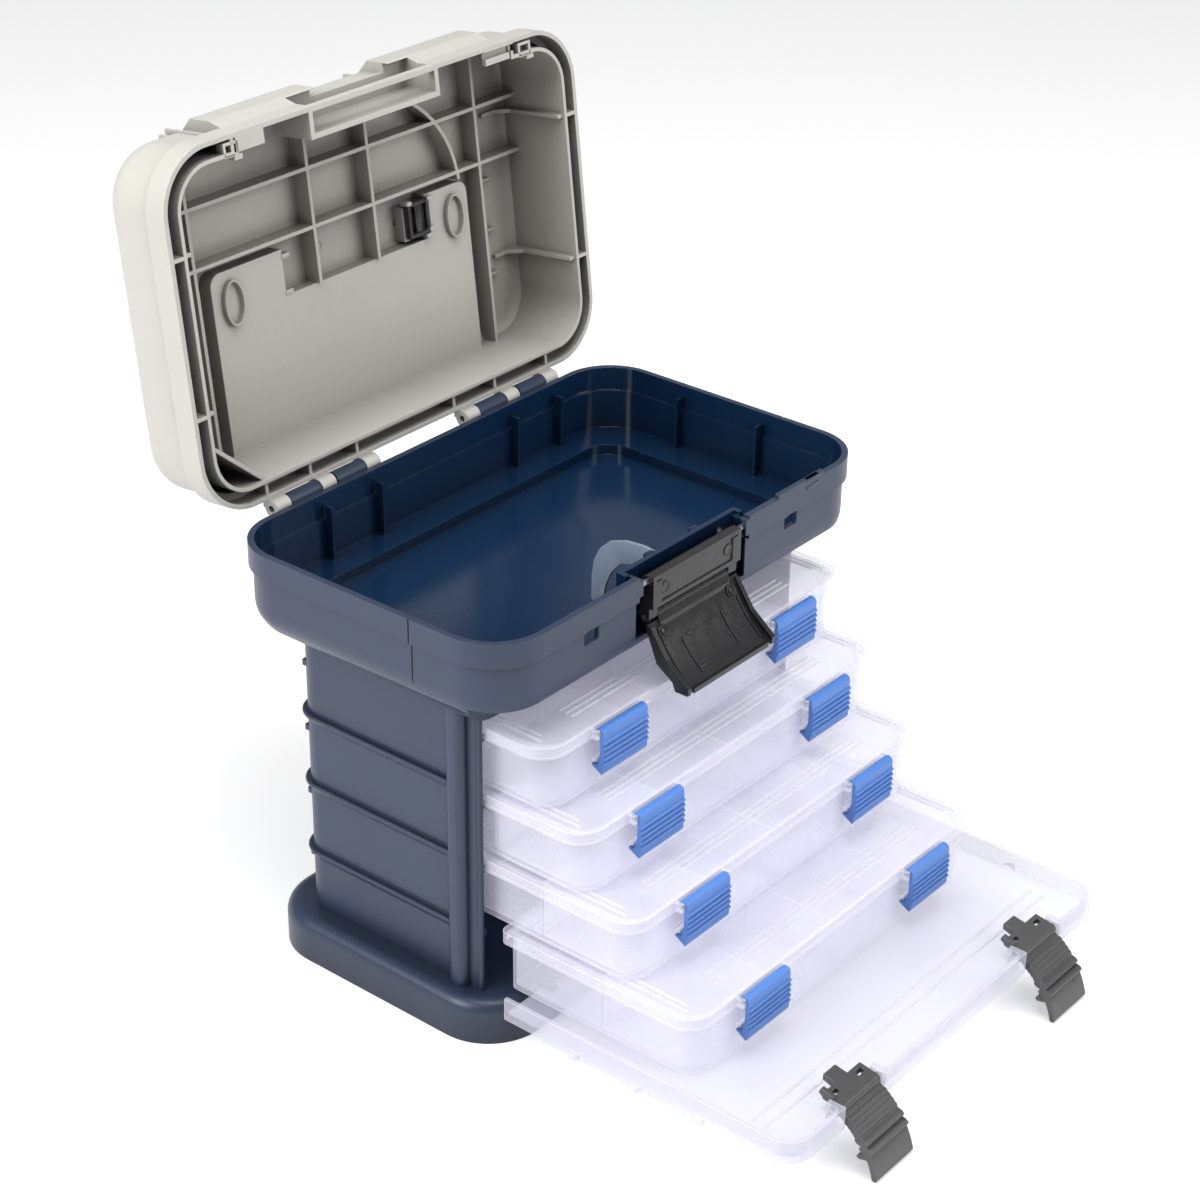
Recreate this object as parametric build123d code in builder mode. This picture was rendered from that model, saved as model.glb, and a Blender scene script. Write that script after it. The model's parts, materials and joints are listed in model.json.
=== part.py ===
"""Four-organiser tackle box: top bin with a hinged lid, cabinet, four slide-out organisers and a clear door.

Millimetres. X runs to the right seen from the front, Y to the back, Z up; the door side faces -Y.
The origin is at the centre of the underside of the base, half way along the depth of the bin's rim.
The box stands open: lid back on its stop, door down level, organisers drawn out like a stair.
"""
from build123d import *
import os
from math import atan, cos, degrees, radians, sin

# Rim of the bin, which sets the width and the depth of all that hangs from it
rim_width = 270.0
rim_depth = 166.0
rim_corner = 28.0
rim_y = rim_depth / 2

# Base
base_height = 22.0
base_overhang = 13.7
base_front_inset, base_back_inset = 10.0, 6.0
base_corner = 30.0
base_wall = 3.0
base_round = 7.0
base_rib = 3.0

# Organisers: their stack sets the height of the cabinet
tray_count = 4
tray_height = 32.5
tray_air = 2.1
tray_seat = 3.0
tray_side_air = 0.9
tray_rear_air = 3.6
tray_home_proud = 5.0
tray_drawn = (31.3, 53.0, 80.0, 115.0)
tray_corner = 14.0
tray_rear_corner = 4.0
tray_wall = 1.6
tray_lid_height = 6.0
tray_lid_top = 1.6
tray_flange = 4.6
tray_fit = 0.3
tray_ridge, tray_ridge_width = 0.6, 0.9
edge_ridge_insets = (7.0, 10.5)
front_ridges = (12.5, 16.0, 19.5)
front_ridge_reach = 16.0
slot_ribs = 3
slot_rib = 1.2
divider_thickness = 1.2
divider_play = 0.15
divider_height = 24.6
catch_proud = 1.5
catch_height = 1.6
catch_lift = 3.2
rail_height = 3.0
rail_play = 0.3
rail_gap = 0.8
rail_set_back = 2.0

# Cabinet
cabinet_inset = 19.7
cabinet_front_inset, cabinet_back_inset = 31.0, 23.0
cabinet_air = 7.6
cabinet_corner = 12.0
cabinet_wall = 2.4
ledge_first = 33.0
ledge_pitch = 37.4
ledge_count = 3
ledge_proud, ledge_height = 3.6, 5.5
ledge_round = 1.2
column_width = 17.0
column_side = 1.4
pilaster_width = 11.0
pilaster_proud = 4.5
pilaster_round = 4.3
bead_radius = 1.5

# Top bin
bin_height = 46.0
bin_wall = 2.5
bin_skirt = 8.0
ledge_step = 5.5
ledge_front = 21.0
ledge_back = 16.5
ledge_side = 19.5
ledge_corner = 14.0
pocket_corner = 4.0
skirt_round = 17.0
rim_band = 12.0
rim_proud = 2.0
rim_step = 1.4
fin_thickness, fin_depth, fin_height = 1.6, 4.5, 27.0
back_fin_places = (-73.0, -39.0, 58.0, 91.0)
side_fin_places = (-20.5, 29.0)
parting_y, parting_width, parting_depth = -31.0, 0.8, 0.5
rim_tab_from, rim_tab_to = 60.0, 96.0
rim_tab_height, rim_tab_play = 1.8, 0.4
window_width, window_height = 10.0, 8.0
window_drop = 15.5

# Lid, drawn shut in its own frame and carried open by that frame
lid_open_angle = 96.6
lid_lap = 1.0
lid_nose = 3.0
lid_gap = 0.3
lid_height = 44.7
lid_band = 12.0
lid_inset = 3.0
lid_round = 13.0
lid_wall = 2.5
lip_wall = 2.2
skin_inset, skin_wall = 8.0, 1.8
skin_height = 40.7
flange_depth = 10.2
skin_gap_half = 93.0
rim_pad_from, rim_pad_to = 73.0, 90.0
rim_pad_depth, rim_pad_wall = 9.0, 2.6
groove_ribs = (-70.0, -39.0, 29.0, 59.0)
groove_rib_drop = 1.5
sunk_side = 52.0
sunk_front, sunk_back_inset = -12.0, 17.0
sunk_depth = 8.0
bridge_half_width = 59.0
bridge_back = 10.0
panel_round = 6.0
shoulder_half_from, shoulder_half_to = 24.0, 88.0
shoulder_proud, shoulder_slope = 2.5, 8.0
lid_notch_depth = 12.5
lid_notch_height = 20.0
keeper_thickness, keeper_height = 2.6, 4.0
lid_rib_thickness = 1.8
lid_rib_depth = 10.0
lid_rib_across = (-48.0, -20.0)
lid_rib_along = (-20.0, 20.0)
lid_rail_half = 96.0
side_rib_places = (-40.0, 33.0)
side_rib_foot, side_rib_proud = 18.0, 2.4
corner_rib_half, corner_rib_front = 98.0, 48.0
bow_rib = ((45.0, -65.0), (68.0, -47.0), (80.0, -17.0))
recess_left, recess_right = 41.0, 56.5

# Lid hinge
hinge_behind = 4.5
hinge_below_seat = 0.8
hinge_barrel = 4.2
hinge_from_side = 70.0
body_barrel_offset = 15.0
body_barrel_length = 19.0
lid_barrel_offsets = (-29.5, 0.0, 29.5)
lid_barrel_length = 9.0
lug_height, lug_drop = 4.4, 2.0
pin_radius = 1.6
pin_play = 0.05
pin_head, pin_head_height = 2.6, 1.2
pin_set_in = 2.0

# Carrying handle
handle_half_span = 50.0
handle_pivot_y = -3.0
handle_pivot_drop = 2.4
handle_foot_width = 9.0
handle_foot_radius = 4.6
handle_reach = 56.0
handle_flare = 9.0
handle_bar = 13.0
handle_thickness = 8.0
handle_sink = 3.6
handle_neck_set_back = 2.0
handle_round = 12.0
handle_slot_play = 1.0
handle_boss_wall = 3.0

# Main latch
latch_x = -2.5
notch_width = 80.0
notch_height = 31.5
notch_depth = 9.0
notch_lap = 3.0
link_pin_inset, link_pin_drop = 2.6, 5.5
lever_pin_back, lever_pin_down = 0.8, 18.5
lever_reach, lever_drop = 23.4, 29.8
latch_pin_radius = 1.4
link_barrel = 3.0
knuckle_radius = 2.6
link_width = 64.0
link_plate = 2.0
link_plate_front = 4.0
link_plate_end = 5.2
link_recess, link_border = 0.7, 2.2
link_cheek = 6.0
lever_width = 65.0
lever_thickness = 2.2
lever_bow = (1.9, -1.6)
lever_cheek, lever_cheek_proud, lever_cheek_back = 2.4, 2.6, 3.0
lever_set_out = 1.8
lever_hook, lever_hook_rise, lever_hook_toe = 5.0, 3.0, 1.6
lever_foot = 1.0
lever_lip = 2.4
latch_clear = 0.4

# Door
door_hinge_ahead, door_hinge_below = 4.5, 1.2
door_barrel = 3.2
door_hinge_inset = 37.0
door_knuckle = 8.0
base_knuckle = 6.0
knuckle_gap = 0.4
door_side_inset = 4.0
door_over_floor = 0.3
door_heel = 2.5
door_under, door_over = 1.4, 3.9
door_flange = 12.7
door_flange_wall = 2.0
door_corner = 12.0
door_bump_radius = 3.0
door_front_play = 2.7
rebate_play = 4.0
door_ridges = (24.0, 31.0)
door_knuckle_clear = 0.6

# Door latches
door_pin_radius = 1.5
catch_side_inset = 52.0
catch_pin_inset, catch_pin_rise = 5.0, 8.2
catch_width = 28.0
catch_barrel = 3.4
catch_reach, catch_drop = 21.0, 27.0
tongue_reach, tongue_rise = 14.5, 4.5
tongue_width = 9.0
tongue_half = 1.4
neck_reach, neck_slot = 8.0, 5.0
catch_thickness = 2.8
catch_bow = (3.4, 1.4)
catch_rib_proud = 0.6
fine_ribs, broad_ribs = (0.16, 0.23, 0.30, 0.37), (0.47, 0.60)
catch_pocket_play = 1.0
catch_ear = 3.0

# Organiser latches
clip_width = 31.0
clip_height = 22.0
clip_spacing = 128.6
clip_thickness = 1.8
clip_barrel = 2.5
clip_rod = 1.2
clip_rod_drop = 2.9
clip_rod_stand = 2.9
clip_ear = 2.0
clip_rib_count = 5
clip_rib_proud = 0.9
clip_hook_reach, clip_hook_rise, clip_hook_tip = 4.6, 2.6, 1.4
clip_toe, clip_hook_wall = 0.8, 0.6

# Fasteners
screw_radius = 1.8
screw_head = 3.6
screw_length = 9.0
screw_head_height = 2.0

# Places worked out from the sizes above
over, sunk_in = 1.0, 0.1
tray_pitch = tray_height + tray_air
tray_lowest = base_height + tray_seat
tray_levels = [tray_lowest + tray_pitch * (tray_count - 1 - number) for number in range(tray_count)]
cabinet_width = rim_width - 2 * cabinet_inset
cabinet_front, cabinet_back = cabinet_front_inset - rim_y, rim_y - cabinet_back_inset
cabinet_depth = cabinet_back - cabinet_front
cabinet_top = tray_lowest + tray_pitch * tray_count + cabinet_air
inner_width = cabinet_width - 2 * cabinet_wall
tray_width = inner_width - 2 * tray_side_air
tray_home = cabinet_front - tray_home_proud
tray_depth = cabinet_back - cabinet_wall - tray_rear_air - tray_home
base_width = cabinet_width + 2 * base_overhang
base_front, base_back = base_front_inset - rim_y, rim_y - base_back_inset
bin_underside = cabinet_top
bin_floor = bin_underside + bin_skirt
ledge_level = bin_floor + ledge_step
rim_top = bin_underside + bin_height
bin_width = rim_width - 2 * rim_proud
bin_depth = rim_depth - 2 * rim_proud
lid_width = rim_width + 2 * lid_lap
lid_front, lid_back = -rim_y - lid_nose, rim_y
lid_corner = rim_corner + lid_lap
lid_seat = rim_top + lid_gap
lid_top = lid_seat + lid_height
lid_hinge_y, lid_hinge_z = lid_back + hinge_behind, lid_seat - hinge_below_seat
hinge_group = rim_width / 2 - hinge_from_side
door_hinge_y, door_hinge_z = base_front - door_hinge_ahead, base_height - door_hinge_below
door_width = base_width - 2 * door_side_inset
door_hinge_x = door_width / 2 - door_hinge_inset
door_reach = bin_floor + door_over_floor - door_hinge_z
front_edge = door_hinge_z + door_reach + door_front_play
rebate_back = door_hinge_y + door_flange + rebate_play

lid_frame = Plane(
    origin=(0, lid_hinge_y, lid_hinge_z),
    x_dir=(1, 0, 0),
    z_dir=(0, sin(radians(lid_open_angle)), cos(radians(lid_open_angle))),
)
door_frame = Plane(origin=(0, door_hinge_y, door_hinge_z))
across_x = (0, 90, 0)


def side_of(frame, x=0.0):
    """The plane across X at x, seen along +X: first direction the frame's Y, second the frame's Z."""
    return Plane(origin=frame.origin + frame.x_dir * x, x_dir=frame.y_dir, z_dir=frame.x_dir)


def both(x):
    """The same distance to the left and to the right."""
    return -x, x


def save(builder, name):
    """Label a finished piece and write it to its own file."""
    builder.part.label = name
    export_step(builder.part, f"parts/{name}.step")


os.makedirs("parts", exist_ok=True)

# Top bin: rim, walls with a rounded skirt, stepped floor, latch notch and hinge barrels
with BuildPart() as top_bin:
    with BuildSketch(Plane.XY.offset(bin_underside)):
        RectangleRounded(bin_width, bin_depth, rim_corner - rim_proud)
    extrude(amount=bin_height)
    fillet(top_bin.faces().sort_by(Axis.Z)[0].edges(), skirt_round)
    with BuildSketch(Plane.XY.offset(rim_top - rim_band)):
        RectangleRounded(rim_width, rim_depth, rim_corner)
    extrude(amount=rim_band)
    inside_width, inside_depth = bin_width - 2 * bin_wall, bin_depth - 2 * bin_wall
    inside_corner = rim_corner - rim_proud - bin_wall
    with BuildSketch(Plane.XY.offset(ledge_level)):
        RectangleRounded(inside_width, inside_depth, inside_corner)
    extrude(amount=rim_top - ledge_level, mode=Mode.SUBTRACT)
    with BuildSketch(Plane.XY.offset(rim_top - rim_band)):
        RectangleRounded(inside_width + 2 * rim_step, inside_depth + 2 * rim_step, inside_corner + rim_step)
    extrude(amount=rim_band, mode=Mode.SUBTRACT)
    well_width, well_depth = inside_width - 2 * ledge_side, inside_depth - ledge_front - ledge_back
    with BuildSketch(Plane.XY.offset(bin_floor)):
        with Locations((0, (ledge_front - ledge_back) / 2)):
            RectangleRounded(well_width, well_depth, ledge_corner)
    extrude(amount=ledge_step, mode=Mode.SUBTRACT)
    # Thin fins that stiffen the back and side walls
    fin_level = ledge_level + fin_height / 2
    back_fins = [(x, (inside_depth - fin_depth) / 2, fin_level) for x in back_fin_places]
    side_fins = [(x, y, fin_level) for x in both((inside_width - fin_depth) / 2) for y in side_fin_places]
    with Locations(*back_fins):
        Box(fin_thickness, fin_depth, fin_height)
    with Locations(*side_fins):
        Box(fin_depth, fin_thickness, fin_height)
    # Parting line down both sides
    with Locations(*[(x, parting_y, rim_top - bin_height / 2) for x in both(rim_width / 2)]):
        Box(2 * parting_depth, parting_width, bin_height, mode=Mode.SUBTRACT)
    with Locations(*[(x, parting_y, rim_top - bin_height / 2) for x in both(bin_width / 2)]):
        Box(2 * parting_depth, parting_width, bin_height, mode=Mode.SUBTRACT)
    # Pocket under the floor, which seats on the cabinet, and the rebate over the top edge of the door
    pocket_front, pocket_back = rebate_back + bin_wall, cabinet_back - cabinet_wall
    with BuildSketch(Plane.XY.offset(bin_underside)):
        with Locations((0, (pocket_front + pocket_back) / 2)):
            RectangleRounded(inner_width, pocket_back - pocket_front, pocket_corner)
    extrude(amount=bin_skirt - bin_wall, mode=Mode.SUBTRACT)
    rebate_depth, rebate_height = rim_y + rebate_back, front_edge - bin_underside
    with Locations((0, (rebate_back - rim_y) / 2 - over, (bin_underside + front_edge) / 2 - over)):
        Box(rim_width, rebate_depth + 2 * over, rebate_height + 2 * over, mode=Mode.SUBTRACT)
    # Latch notch in the front of the rim, with its own back wall inside
    notch_back, notch_bottom = notch_depth - rim_y, rim_top - notch_height
    with Locations((latch_x, notch_back + (bin_wall - notch_lap) / 2, (ledge_level + rim_top) / 2)):
        Box(notch_width + 2 * bin_wall, bin_wall + notch_lap, rim_top - ledge_level)
    with Locations((latch_x, -rim_y + notch_depth / 2 - over, (notch_bottom + rim_top) / 2 + over)):
        Box(notch_width, notch_depth + 2 * over, notch_height + 2 * over, mode=Mode.SUBTRACT)
    link_pin_y, link_pin_z = link_pin_inset - rim_y, rim_top - link_pin_drop
    for end in both(notch_width / 2 - bin_wall / 2):
        with Locations((latch_x + end, -rim_y + notch_depth / 2, link_pin_z)):
            Box(bin_wall, notch_depth, 2 * (link_barrel + over))
    with Locations((latch_x, link_pin_y, link_pin_z)):
        Cylinder(latch_pin_radius + pin_play, notch_width - over, rotation=across_x, mode=Mode.SUBTRACT)
    # Windows for the tongues of the door latches
    catch_x = door_width / 2 - catch_side_inset
    with Locations(*[(x, -rim_y + bin_wall, rim_top - window_drop) for x in both(catch_x)]):
        Box(window_width, 3 * bin_wall, window_height, mode=Mode.SUBTRACT)
    with Locations(((rim_tab_from + rim_tab_to) / 2, -rim_y + bin_wall / 2, rim_top + rim_tab_height / 2)):
        Box(rim_tab_to - rim_tab_from, bin_wall, rim_tab_height)
    # Hinge barrels behind the rim
    barrel_places = [side + end for side in both(hinge_group) for end in both(body_barrel_offset)]
    with Locations(*[(x, (rim_y + lid_hinge_y - over) / 2, lid_hinge_z - lug_drop) for x in barrel_places]):
        Box(body_barrel_length, hinge_behind + over, lug_height)
    with Locations(*[(x, lid_hinge_y, lid_hinge_z) for x in barrel_places]):
        Cylinder(hinge_barrel, body_barrel_length, rotation=across_x)
    with Locations(*[(x, lid_hinge_y, lid_hinge_z) for x in barrel_places]):
        Cylinder(pin_radius + pin_play, body_barrel_length, rotation=across_x, mode=Mode.SUBTRACT)
save(top_bin, "top_bin")

# Screws up through the base into the feet of the pilasters
pilaster_y = cabinet_front + column_width - pilaster_width / 2
screw_x = (inner_width + cabinet_width) / 4 + pilaster_proud / 2
screw_places = [(x, pilaster_y) for x in both(screw_x)]
screw_bottom = base_height - base_wall
with BuildPart() as screws:
    with Locations(*[(x, y, screw_bottom - screw_head_height / 2) for x, y in screw_places]):
        Cylinder(screw_head, screw_head_height)
    with Locations(*[(x, y, screw_bottom + screw_length / 2) for x, y in screw_places]):
        Cylinder(screw_radius, screw_length)
save(screws, "base_screws")

# Cabinet: back and side walls in one shell, ledges outside, front columns, rails for the organisers
with BuildPart() as cabinet:
    with BuildSketch(Plane.XY.offset(base_height)):
        with Locations((0, (cabinet_front + cabinet_back) / 2)):
            Rectangle(cabinet_width, cabinet_depth)
        fillet(vertices().group_by(Axis.Y)[-1], cabinet_corner)
    extrude(amount=cabinet_top - base_height)
    # Each ledge leans out of the wall towards its top, where its edge is rounded
    for number in range(ledge_count):
        ledge_top = base_height + ledge_first + number * ledge_pitch
        with BuildSketch(Plane.XY.offset(ledge_top - ledge_height)):
            with Locations((0, (pilaster_y + cabinet_back) / 2)):
                Rectangle(cabinet_width, cabinet_back - pilaster_y)
            fillet(vertices().group_by(Axis.Y)[-1], cabinet_corner)
        extrude(amount=ledge_height, taper=-degrees(atan(ledge_proud / ledge_height)))
        ledge_edges = cabinet.edges().filter_by_position(Axis.Z, ledge_top, ledge_top)
        ledge_edges = ledge_edges.filter_by(lambda edge: max(abs(edge.center().X) - cabinet_width / 2,
                                                            edge.center().Y - cabinet_back) > over)
        fillet(ledge_edges, ledge_round)
    # Two-lobed front columns: a rounded pilaster, and a thin bead at the front corner
    column_x = (inner_width + column_side) / 2
    with BuildSketch(Plane.XY.offset(base_height)):
        with Locations(*[(x, pilaster_y) for x in both(cabinet_width / 2)]):
            RectangleRounded(2 * pilaster_proud, pilaster_width, pilaster_round)
        with Locations(*[(x, cabinet_front + column_width / 2) for x in both(column_x)]):
            Rectangle(column_side, column_width)
        with Locations(*[(x, cabinet_front) for x in both(inner_width / 2 + bead_radius)]):
            Circle(bead_radius)
    extrude(amount=cabinet_top - base_height)
    with BuildSketch(Plane.XY.offset(base_height)):
        with Locations((0, (cabinet_front + cabinet_back - cabinet_wall) / 2)):
            Rectangle(inner_width, cabinet_depth - cabinet_wall)
        fillet(vertices().group_by(Axis.Y)[-1], cabinet_corner - cabinet_wall)
        with Locations((0, cabinet_front)):
            Rectangle(inner_width, column_width)
    extrude(amount=cabinet_top - base_height, mode=Mode.SUBTRACT)
    rail_width = tray_side_air + tray_flange - rail_gap
    rail_front, rail_back = cabinet_front + rail_set_back, cabinet_back - cabinet_wall
    rail_x, rail_y = (inner_width - rail_width) / 2, (rail_front + rail_back) / 2
    for level in tray_levels:
        rail_top = level + tray_height - tray_lid_height - rail_play
        with Locations(*[(x, rail_y, rail_top - rail_height / 2) for x in both(rail_x)]):
            Box(rail_width, rail_back - rail_front, rail_height)
    with Locations(*[(x, y, base_height + screw_length / 2) for x, y in screw_places]):
        Cylinder(screw_radius + pin_play, screw_length, mode=Mode.SUBTRACT)
save(cabinet, "cabinet_shell")

# Base: a shallow plinth, open underneath, with the door's knuckles on its front edge
with BuildPart() as base:
    base_middle, base_depth = (base_front + base_back) / 2, base_back - base_front
    with BuildSketch():
        with Locations((0, base_middle)):
            RectangleRounded(base_width, base_depth, base_corner)
    extrude(amount=base_height)
    fillet(base.faces().sort_by(Axis.Z)[-1].edges(), base_round)
    with BuildSketch():
        with Locations((0, base_middle)):
            RectangleRounded(base_width - 2 * base_wall, base_depth - 2 * base_wall, base_corner - base_wall)
    extrude(amount=base_height - base_wall, mode=Mode.SUBTRACT)
    # Two crossed ribs stiffen the underside
    with BuildSketch():
        Rectangle(base_width - base_wall, base_rib)
        with Locations((0, base_middle)):
            Rectangle(base_rib, base_depth - base_wall)
    extrude(amount=base_height - base_wall)
    base_knuckle_offset = door_knuckle / 2 + base_knuckle / 2 + knuckle_gap
    base_knuckles = [side + end for side in both(door_hinge_x) for end in both(base_knuckle_offset)]
    lug_y = (door_hinge_y + base_front + base_round) / 2
    with Locations(*[(x, lug_y, door_hinge_z - lug_drop) for x in base_knuckles]):
        Box(base_knuckle, door_hinge_ahead + base_round, lug_height)
    with Locations(*[(x, door_hinge_y, door_hinge_z) for x in base_knuckles]):
        Cylinder(door_barrel, base_knuckle, rotation=across_x)
    with Locations(*[(x, door_hinge_y, door_hinge_z) for x in base_knuckles]):
        Cylinder(pin_radius + pin_play, base_knuckle, rotation=across_x, mode=Mode.SUBTRACT)
    with Locations(*[(x, y, base_height - base_wall / 2) for x, y in screw_places]):
        Cylinder(screw_radius + pin_play, base_wall, mode=Mode.SUBTRACT)
save(base, "base_plinth")

# Lid shell: double-walled rim, sunk top for the handle, ribs inside and hinge barrels
lid_y = (lid_front + lid_back) / 2 - lid_hinge_y
lid_depth = lid_back - lid_front
handle_y, handle_z = handle_pivot_y - lid_hinge_y, lid_top - handle_pivot_drop - lid_hinge_z
seat, top = lid_seat - lid_hinge_z, lid_top - lid_hinge_z
ceiling = top - lid_wall
front, back = lid_front - lid_hinge_y, lid_back - lid_hinge_y


def lid_ring(outer, inner=None):
    """The lid's outline drawn in by a distance, with all past a second distance left open."""
    RectangleRounded(lid_width - 2 * outer, lid_depth - 2 * outer, lid_corner - outer)
    if inner is not None:
        RectangleRounded(lid_width - 2 * inner, lid_depth - 2 * inner, lid_corner - inner, mode=Mode.SUBTRACT)


with BuildPart(lid_frame) as lid_shell:
    at_seat = lid_frame.offset(seat)
    with BuildSketch(at_seat):
        with Locations((0, lid_y)):
            lid_ring(lid_inset)
    extrude(amount=lid_height)
    lid_up = Axis(lid_frame.origin, lid_frame.z_dir)
    # Inside of the shell, rounded under the ceiling, then the rounded top
    with BuildSketch(at_seat):
        with Locations((0, lid_y)):
            lid_ring(lid_inset + lid_wall)
    extrude(amount=ceiling - seat, mode=Mode.SUBTRACT)
    fillet(lid_shell.faces().sort_by(lid_up)[-2].edges(), lid_round - lid_wall)
    fillet(lid_shell.faces().sort_by(lid_up)[-1].edges(), lid_round)
    # Inner skin of the double wall, which leaves a deep groove round the rim
    with BuildSketch(at_seat):
        with Locations((0, lid_y)):
            lid_ring(skin_inset, skin_inset + skin_wall)
        with Locations((0, front + skin_inset)):
            Rectangle(2 * skin_gap_half, 4 * skin_wall, mode=Mode.SUBTRACT)
    extrude(amount=skin_height)
    # Outer lip, set out from the shell by a flange
    with BuildSketch(at_seat):
        with Locations((0, lid_y)):
            lid_ring(0, lid_inset + lid_wall)
    extrude(amount=lid_band)
    with BuildSketch(at_seat):
        with Locations((0, lid_y)):
            lid_ring(lip_wall, lid_inset + lid_wall)
    extrude(amount=flange_depth, mode=Mode.SUBTRACT)
    # Ends of the skin at the front, with the solid pads of the rim beside them
    groove = skin_inset + skin_wall - lip_wall
    for x in both(skin_gap_half - skin_wall / 2):
        with Locations((x, front + lip_wall + groove / 2, (seat + ceiling) / 2)):
            Box(skin_wall, groove, lid_height - lid_wall)
    for x in both((rim_pad_from + rim_pad_to) / 2):
        with Locations((x, front + rim_pad_depth / 2, seat + rim_pad_wall / 2)):
            Box(rim_pad_to - rim_pad_from, rim_pad_depth, rim_pad_wall)
    # Room for the tab of the rim, which stands up into the right pad
    tab_x = (rim_tab_from + rim_tab_to) / 2
    tab_length, tab_room = rim_tab_to - rim_tab_from, rim_tab_height + rim_tab_play - lid_gap
    with Locations((tab_x, bin_wall / 2 - rim_y - lid_hinge_y, seat)):
        Box(tab_length + 2 * rim_tab_play, bin_wall + 2 * rim_tab_play, 2 * tab_room, mode=Mode.SUBTRACT)
    # Short ribs across the groove, behind and at the sides
    rib_seat, web_height = seat + groove_rib_drop, lid_band
    web_places = [(x, back - lip_wall - groove / 2) for x in groove_ribs + both(corner_rib_half)]
    with Locations(*[(x, y, rib_seat + web_height / 2) for x, y in web_places]):
        Box(lid_rib_thickness, groove, web_height)
    web_x = lid_width / 2 - lip_wall - groove / 2
    side_webs = [(x, y - lid_hinge_y) for x in both(web_x) for y in side_rib_places]
    with Locations(*[(x, y, seat + web_height / 2) for x, y in side_webs]):
        Box(groove, lid_rib_thickness, web_height)
    # Shoulders of the front wall, either side of the latch
    shoulder_length = shoulder_half_to - shoulder_half_from
    shoulder_x = (shoulder_half_from + shoulder_half_to) / 2
    shoulder_foot, shoulder_head = seat + flange_depth, top - lid_round / 2
    for side in both(1):
        with BuildSketch(side_of(lid_frame, side * shoulder_x - shoulder_length / 2)):
            with BuildLine():
                Polyline(
                    (front + lid_inset + over, shoulder_foot), (front, shoulder_foot),
                    (front - shoulder_proud, shoulder_foot + shoulder_slope),
                    (front - shoulder_proud, shoulder_head - shoulder_slope),
                    (front + lid_inset + lid_wall, shoulder_head),
                    (front + lid_inset + over, shoulder_head - lid_round), close=True,
                )
            make_face()
        extrude(amount=shoulder_length)
    # Sunk part of the top: a U round the bridge that carries the handle, with its panel inside
    sunk_half_width, sunk_back = lid_width / 2 - sunk_side, lid_back - sunk_back_inset
    sunk_middle, sunk_length = (sunk_front + sunk_back) / 2 - lid_hinge_y, sunk_back - sunk_front
    bridge_middle, bridge_length = (sunk_front + bridge_back) / 2 - lid_hinge_y, bridge_back - sunk_front
    panel_front, panel_back = sunk_front - lid_wall - lid_hinge_y, back - skin_inset - over
    with BuildSketch(lid_frame.offset(top - sunk_depth - lid_wall)):
        with Locations((0, (panel_front + panel_back) / 2)):
            Rectangle(2 * (sunk_half_width + lid_wall), panel_back - panel_front)
        fillet(vertices().group_by(Axis.Y)[0], panel_round)
        with Locations(((recess_right - recess_left) / 2, bridge_middle - lid_wall)):
            Rectangle(recess_left + recess_right, bridge_length, mode=Mode.SUBTRACT)
    extrude(amount=sunk_depth + lid_wall / 2)
    with BuildSketch(lid_frame.offset(top - sunk_depth)):
        with Locations((0, sunk_middle)):
            RectangleRounded(2 * sunk_half_width, sunk_length, panel_round - lid_wall)
        with Locations((0, bridge_middle)):
            Rectangle(2 * bridge_half_width, bridge_length, mode=Mode.SUBTRACT)
    extrude(amount=sunk_depth + over, mode=Mode.SUBTRACT)
    # Stiffening ribs on the ceiling: a grid in front of the panel, two rails beside it, a bowed rib
    rib_level = ceiling - lid_rib_depth
    lid_inside_width = lid_width - 2 * skin_inset
    inside_front = front + lid_inset + over
    with BuildSketch(lid_frame.offset(rib_level)):
        with Locations(*[(0, y - lid_hinge_y) for y in lid_rib_across]):
            Rectangle(lid_inside_width, lid_rib_thickness)
        grid_back = bridge_back - lid_wall - lid_hinge_y
        with Locations(*[(x, (inside_front + grid_back) / 2) for x in lid_rib_along]):
            Rectangle(lid_rib_thickness, grid_back - inside_front)
        with Locations(*[(x, (inside_front + panel_back) / 2) for x in both(lid_rail_half)]):
            Rectangle(lid_rib_thickness, panel_back - inside_front)
    extrude(amount=lid_rib_depth)
    with BuildSketch(lid_frame.offset(rib_level)):
        with BuildLine():
            bow_line = ThreePointArc(*[(x, y - lid_hinge_y) for x, y in bow_rib])
            offset(bow_line, amount=lid_rib_thickness / 2, side=Side.BOTH)
        make_face()
    extrude(amount=lid_rib_depth)
    # Ribs up the side walls
    wall_x = lid_width / 2 - skin_inset - over
    rib_foot_x = wall_x - side_rib_foot
    for side in both(1):
        for y in side_rib_places:
            rib_plane = Plane(
                origin=lid_frame.from_local_coords((0, y - lid_hinge_y - lid_rib_thickness / 2, 0)),
                x_dir=lid_frame.x_dir, z_dir=-lid_frame.y_dir,
            )
            with BuildSketch(rib_plane):
                with BuildLine():
                    Polyline(
                        (side * wall_x, seat + groove_rib_drop), (side * wall_x, ceiling + over),
                        (side * rib_foot_x, ceiling + over), (side * rib_foot_x, ceiling - side_rib_proud),
                        (side * (wall_x - side_rib_foot / 2), ceiling - side_rib_proud),
                        (side * (wall_x - side_rib_proud - skin_wall), ceiling - side_rib_foot / 2),
                        (side * (wall_x - side_rib_proud - skin_wall), seat + groove_rib_drop), close=True,
                    )
                make_face()
            extrude(amount=-lid_rib_thickness)
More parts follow.
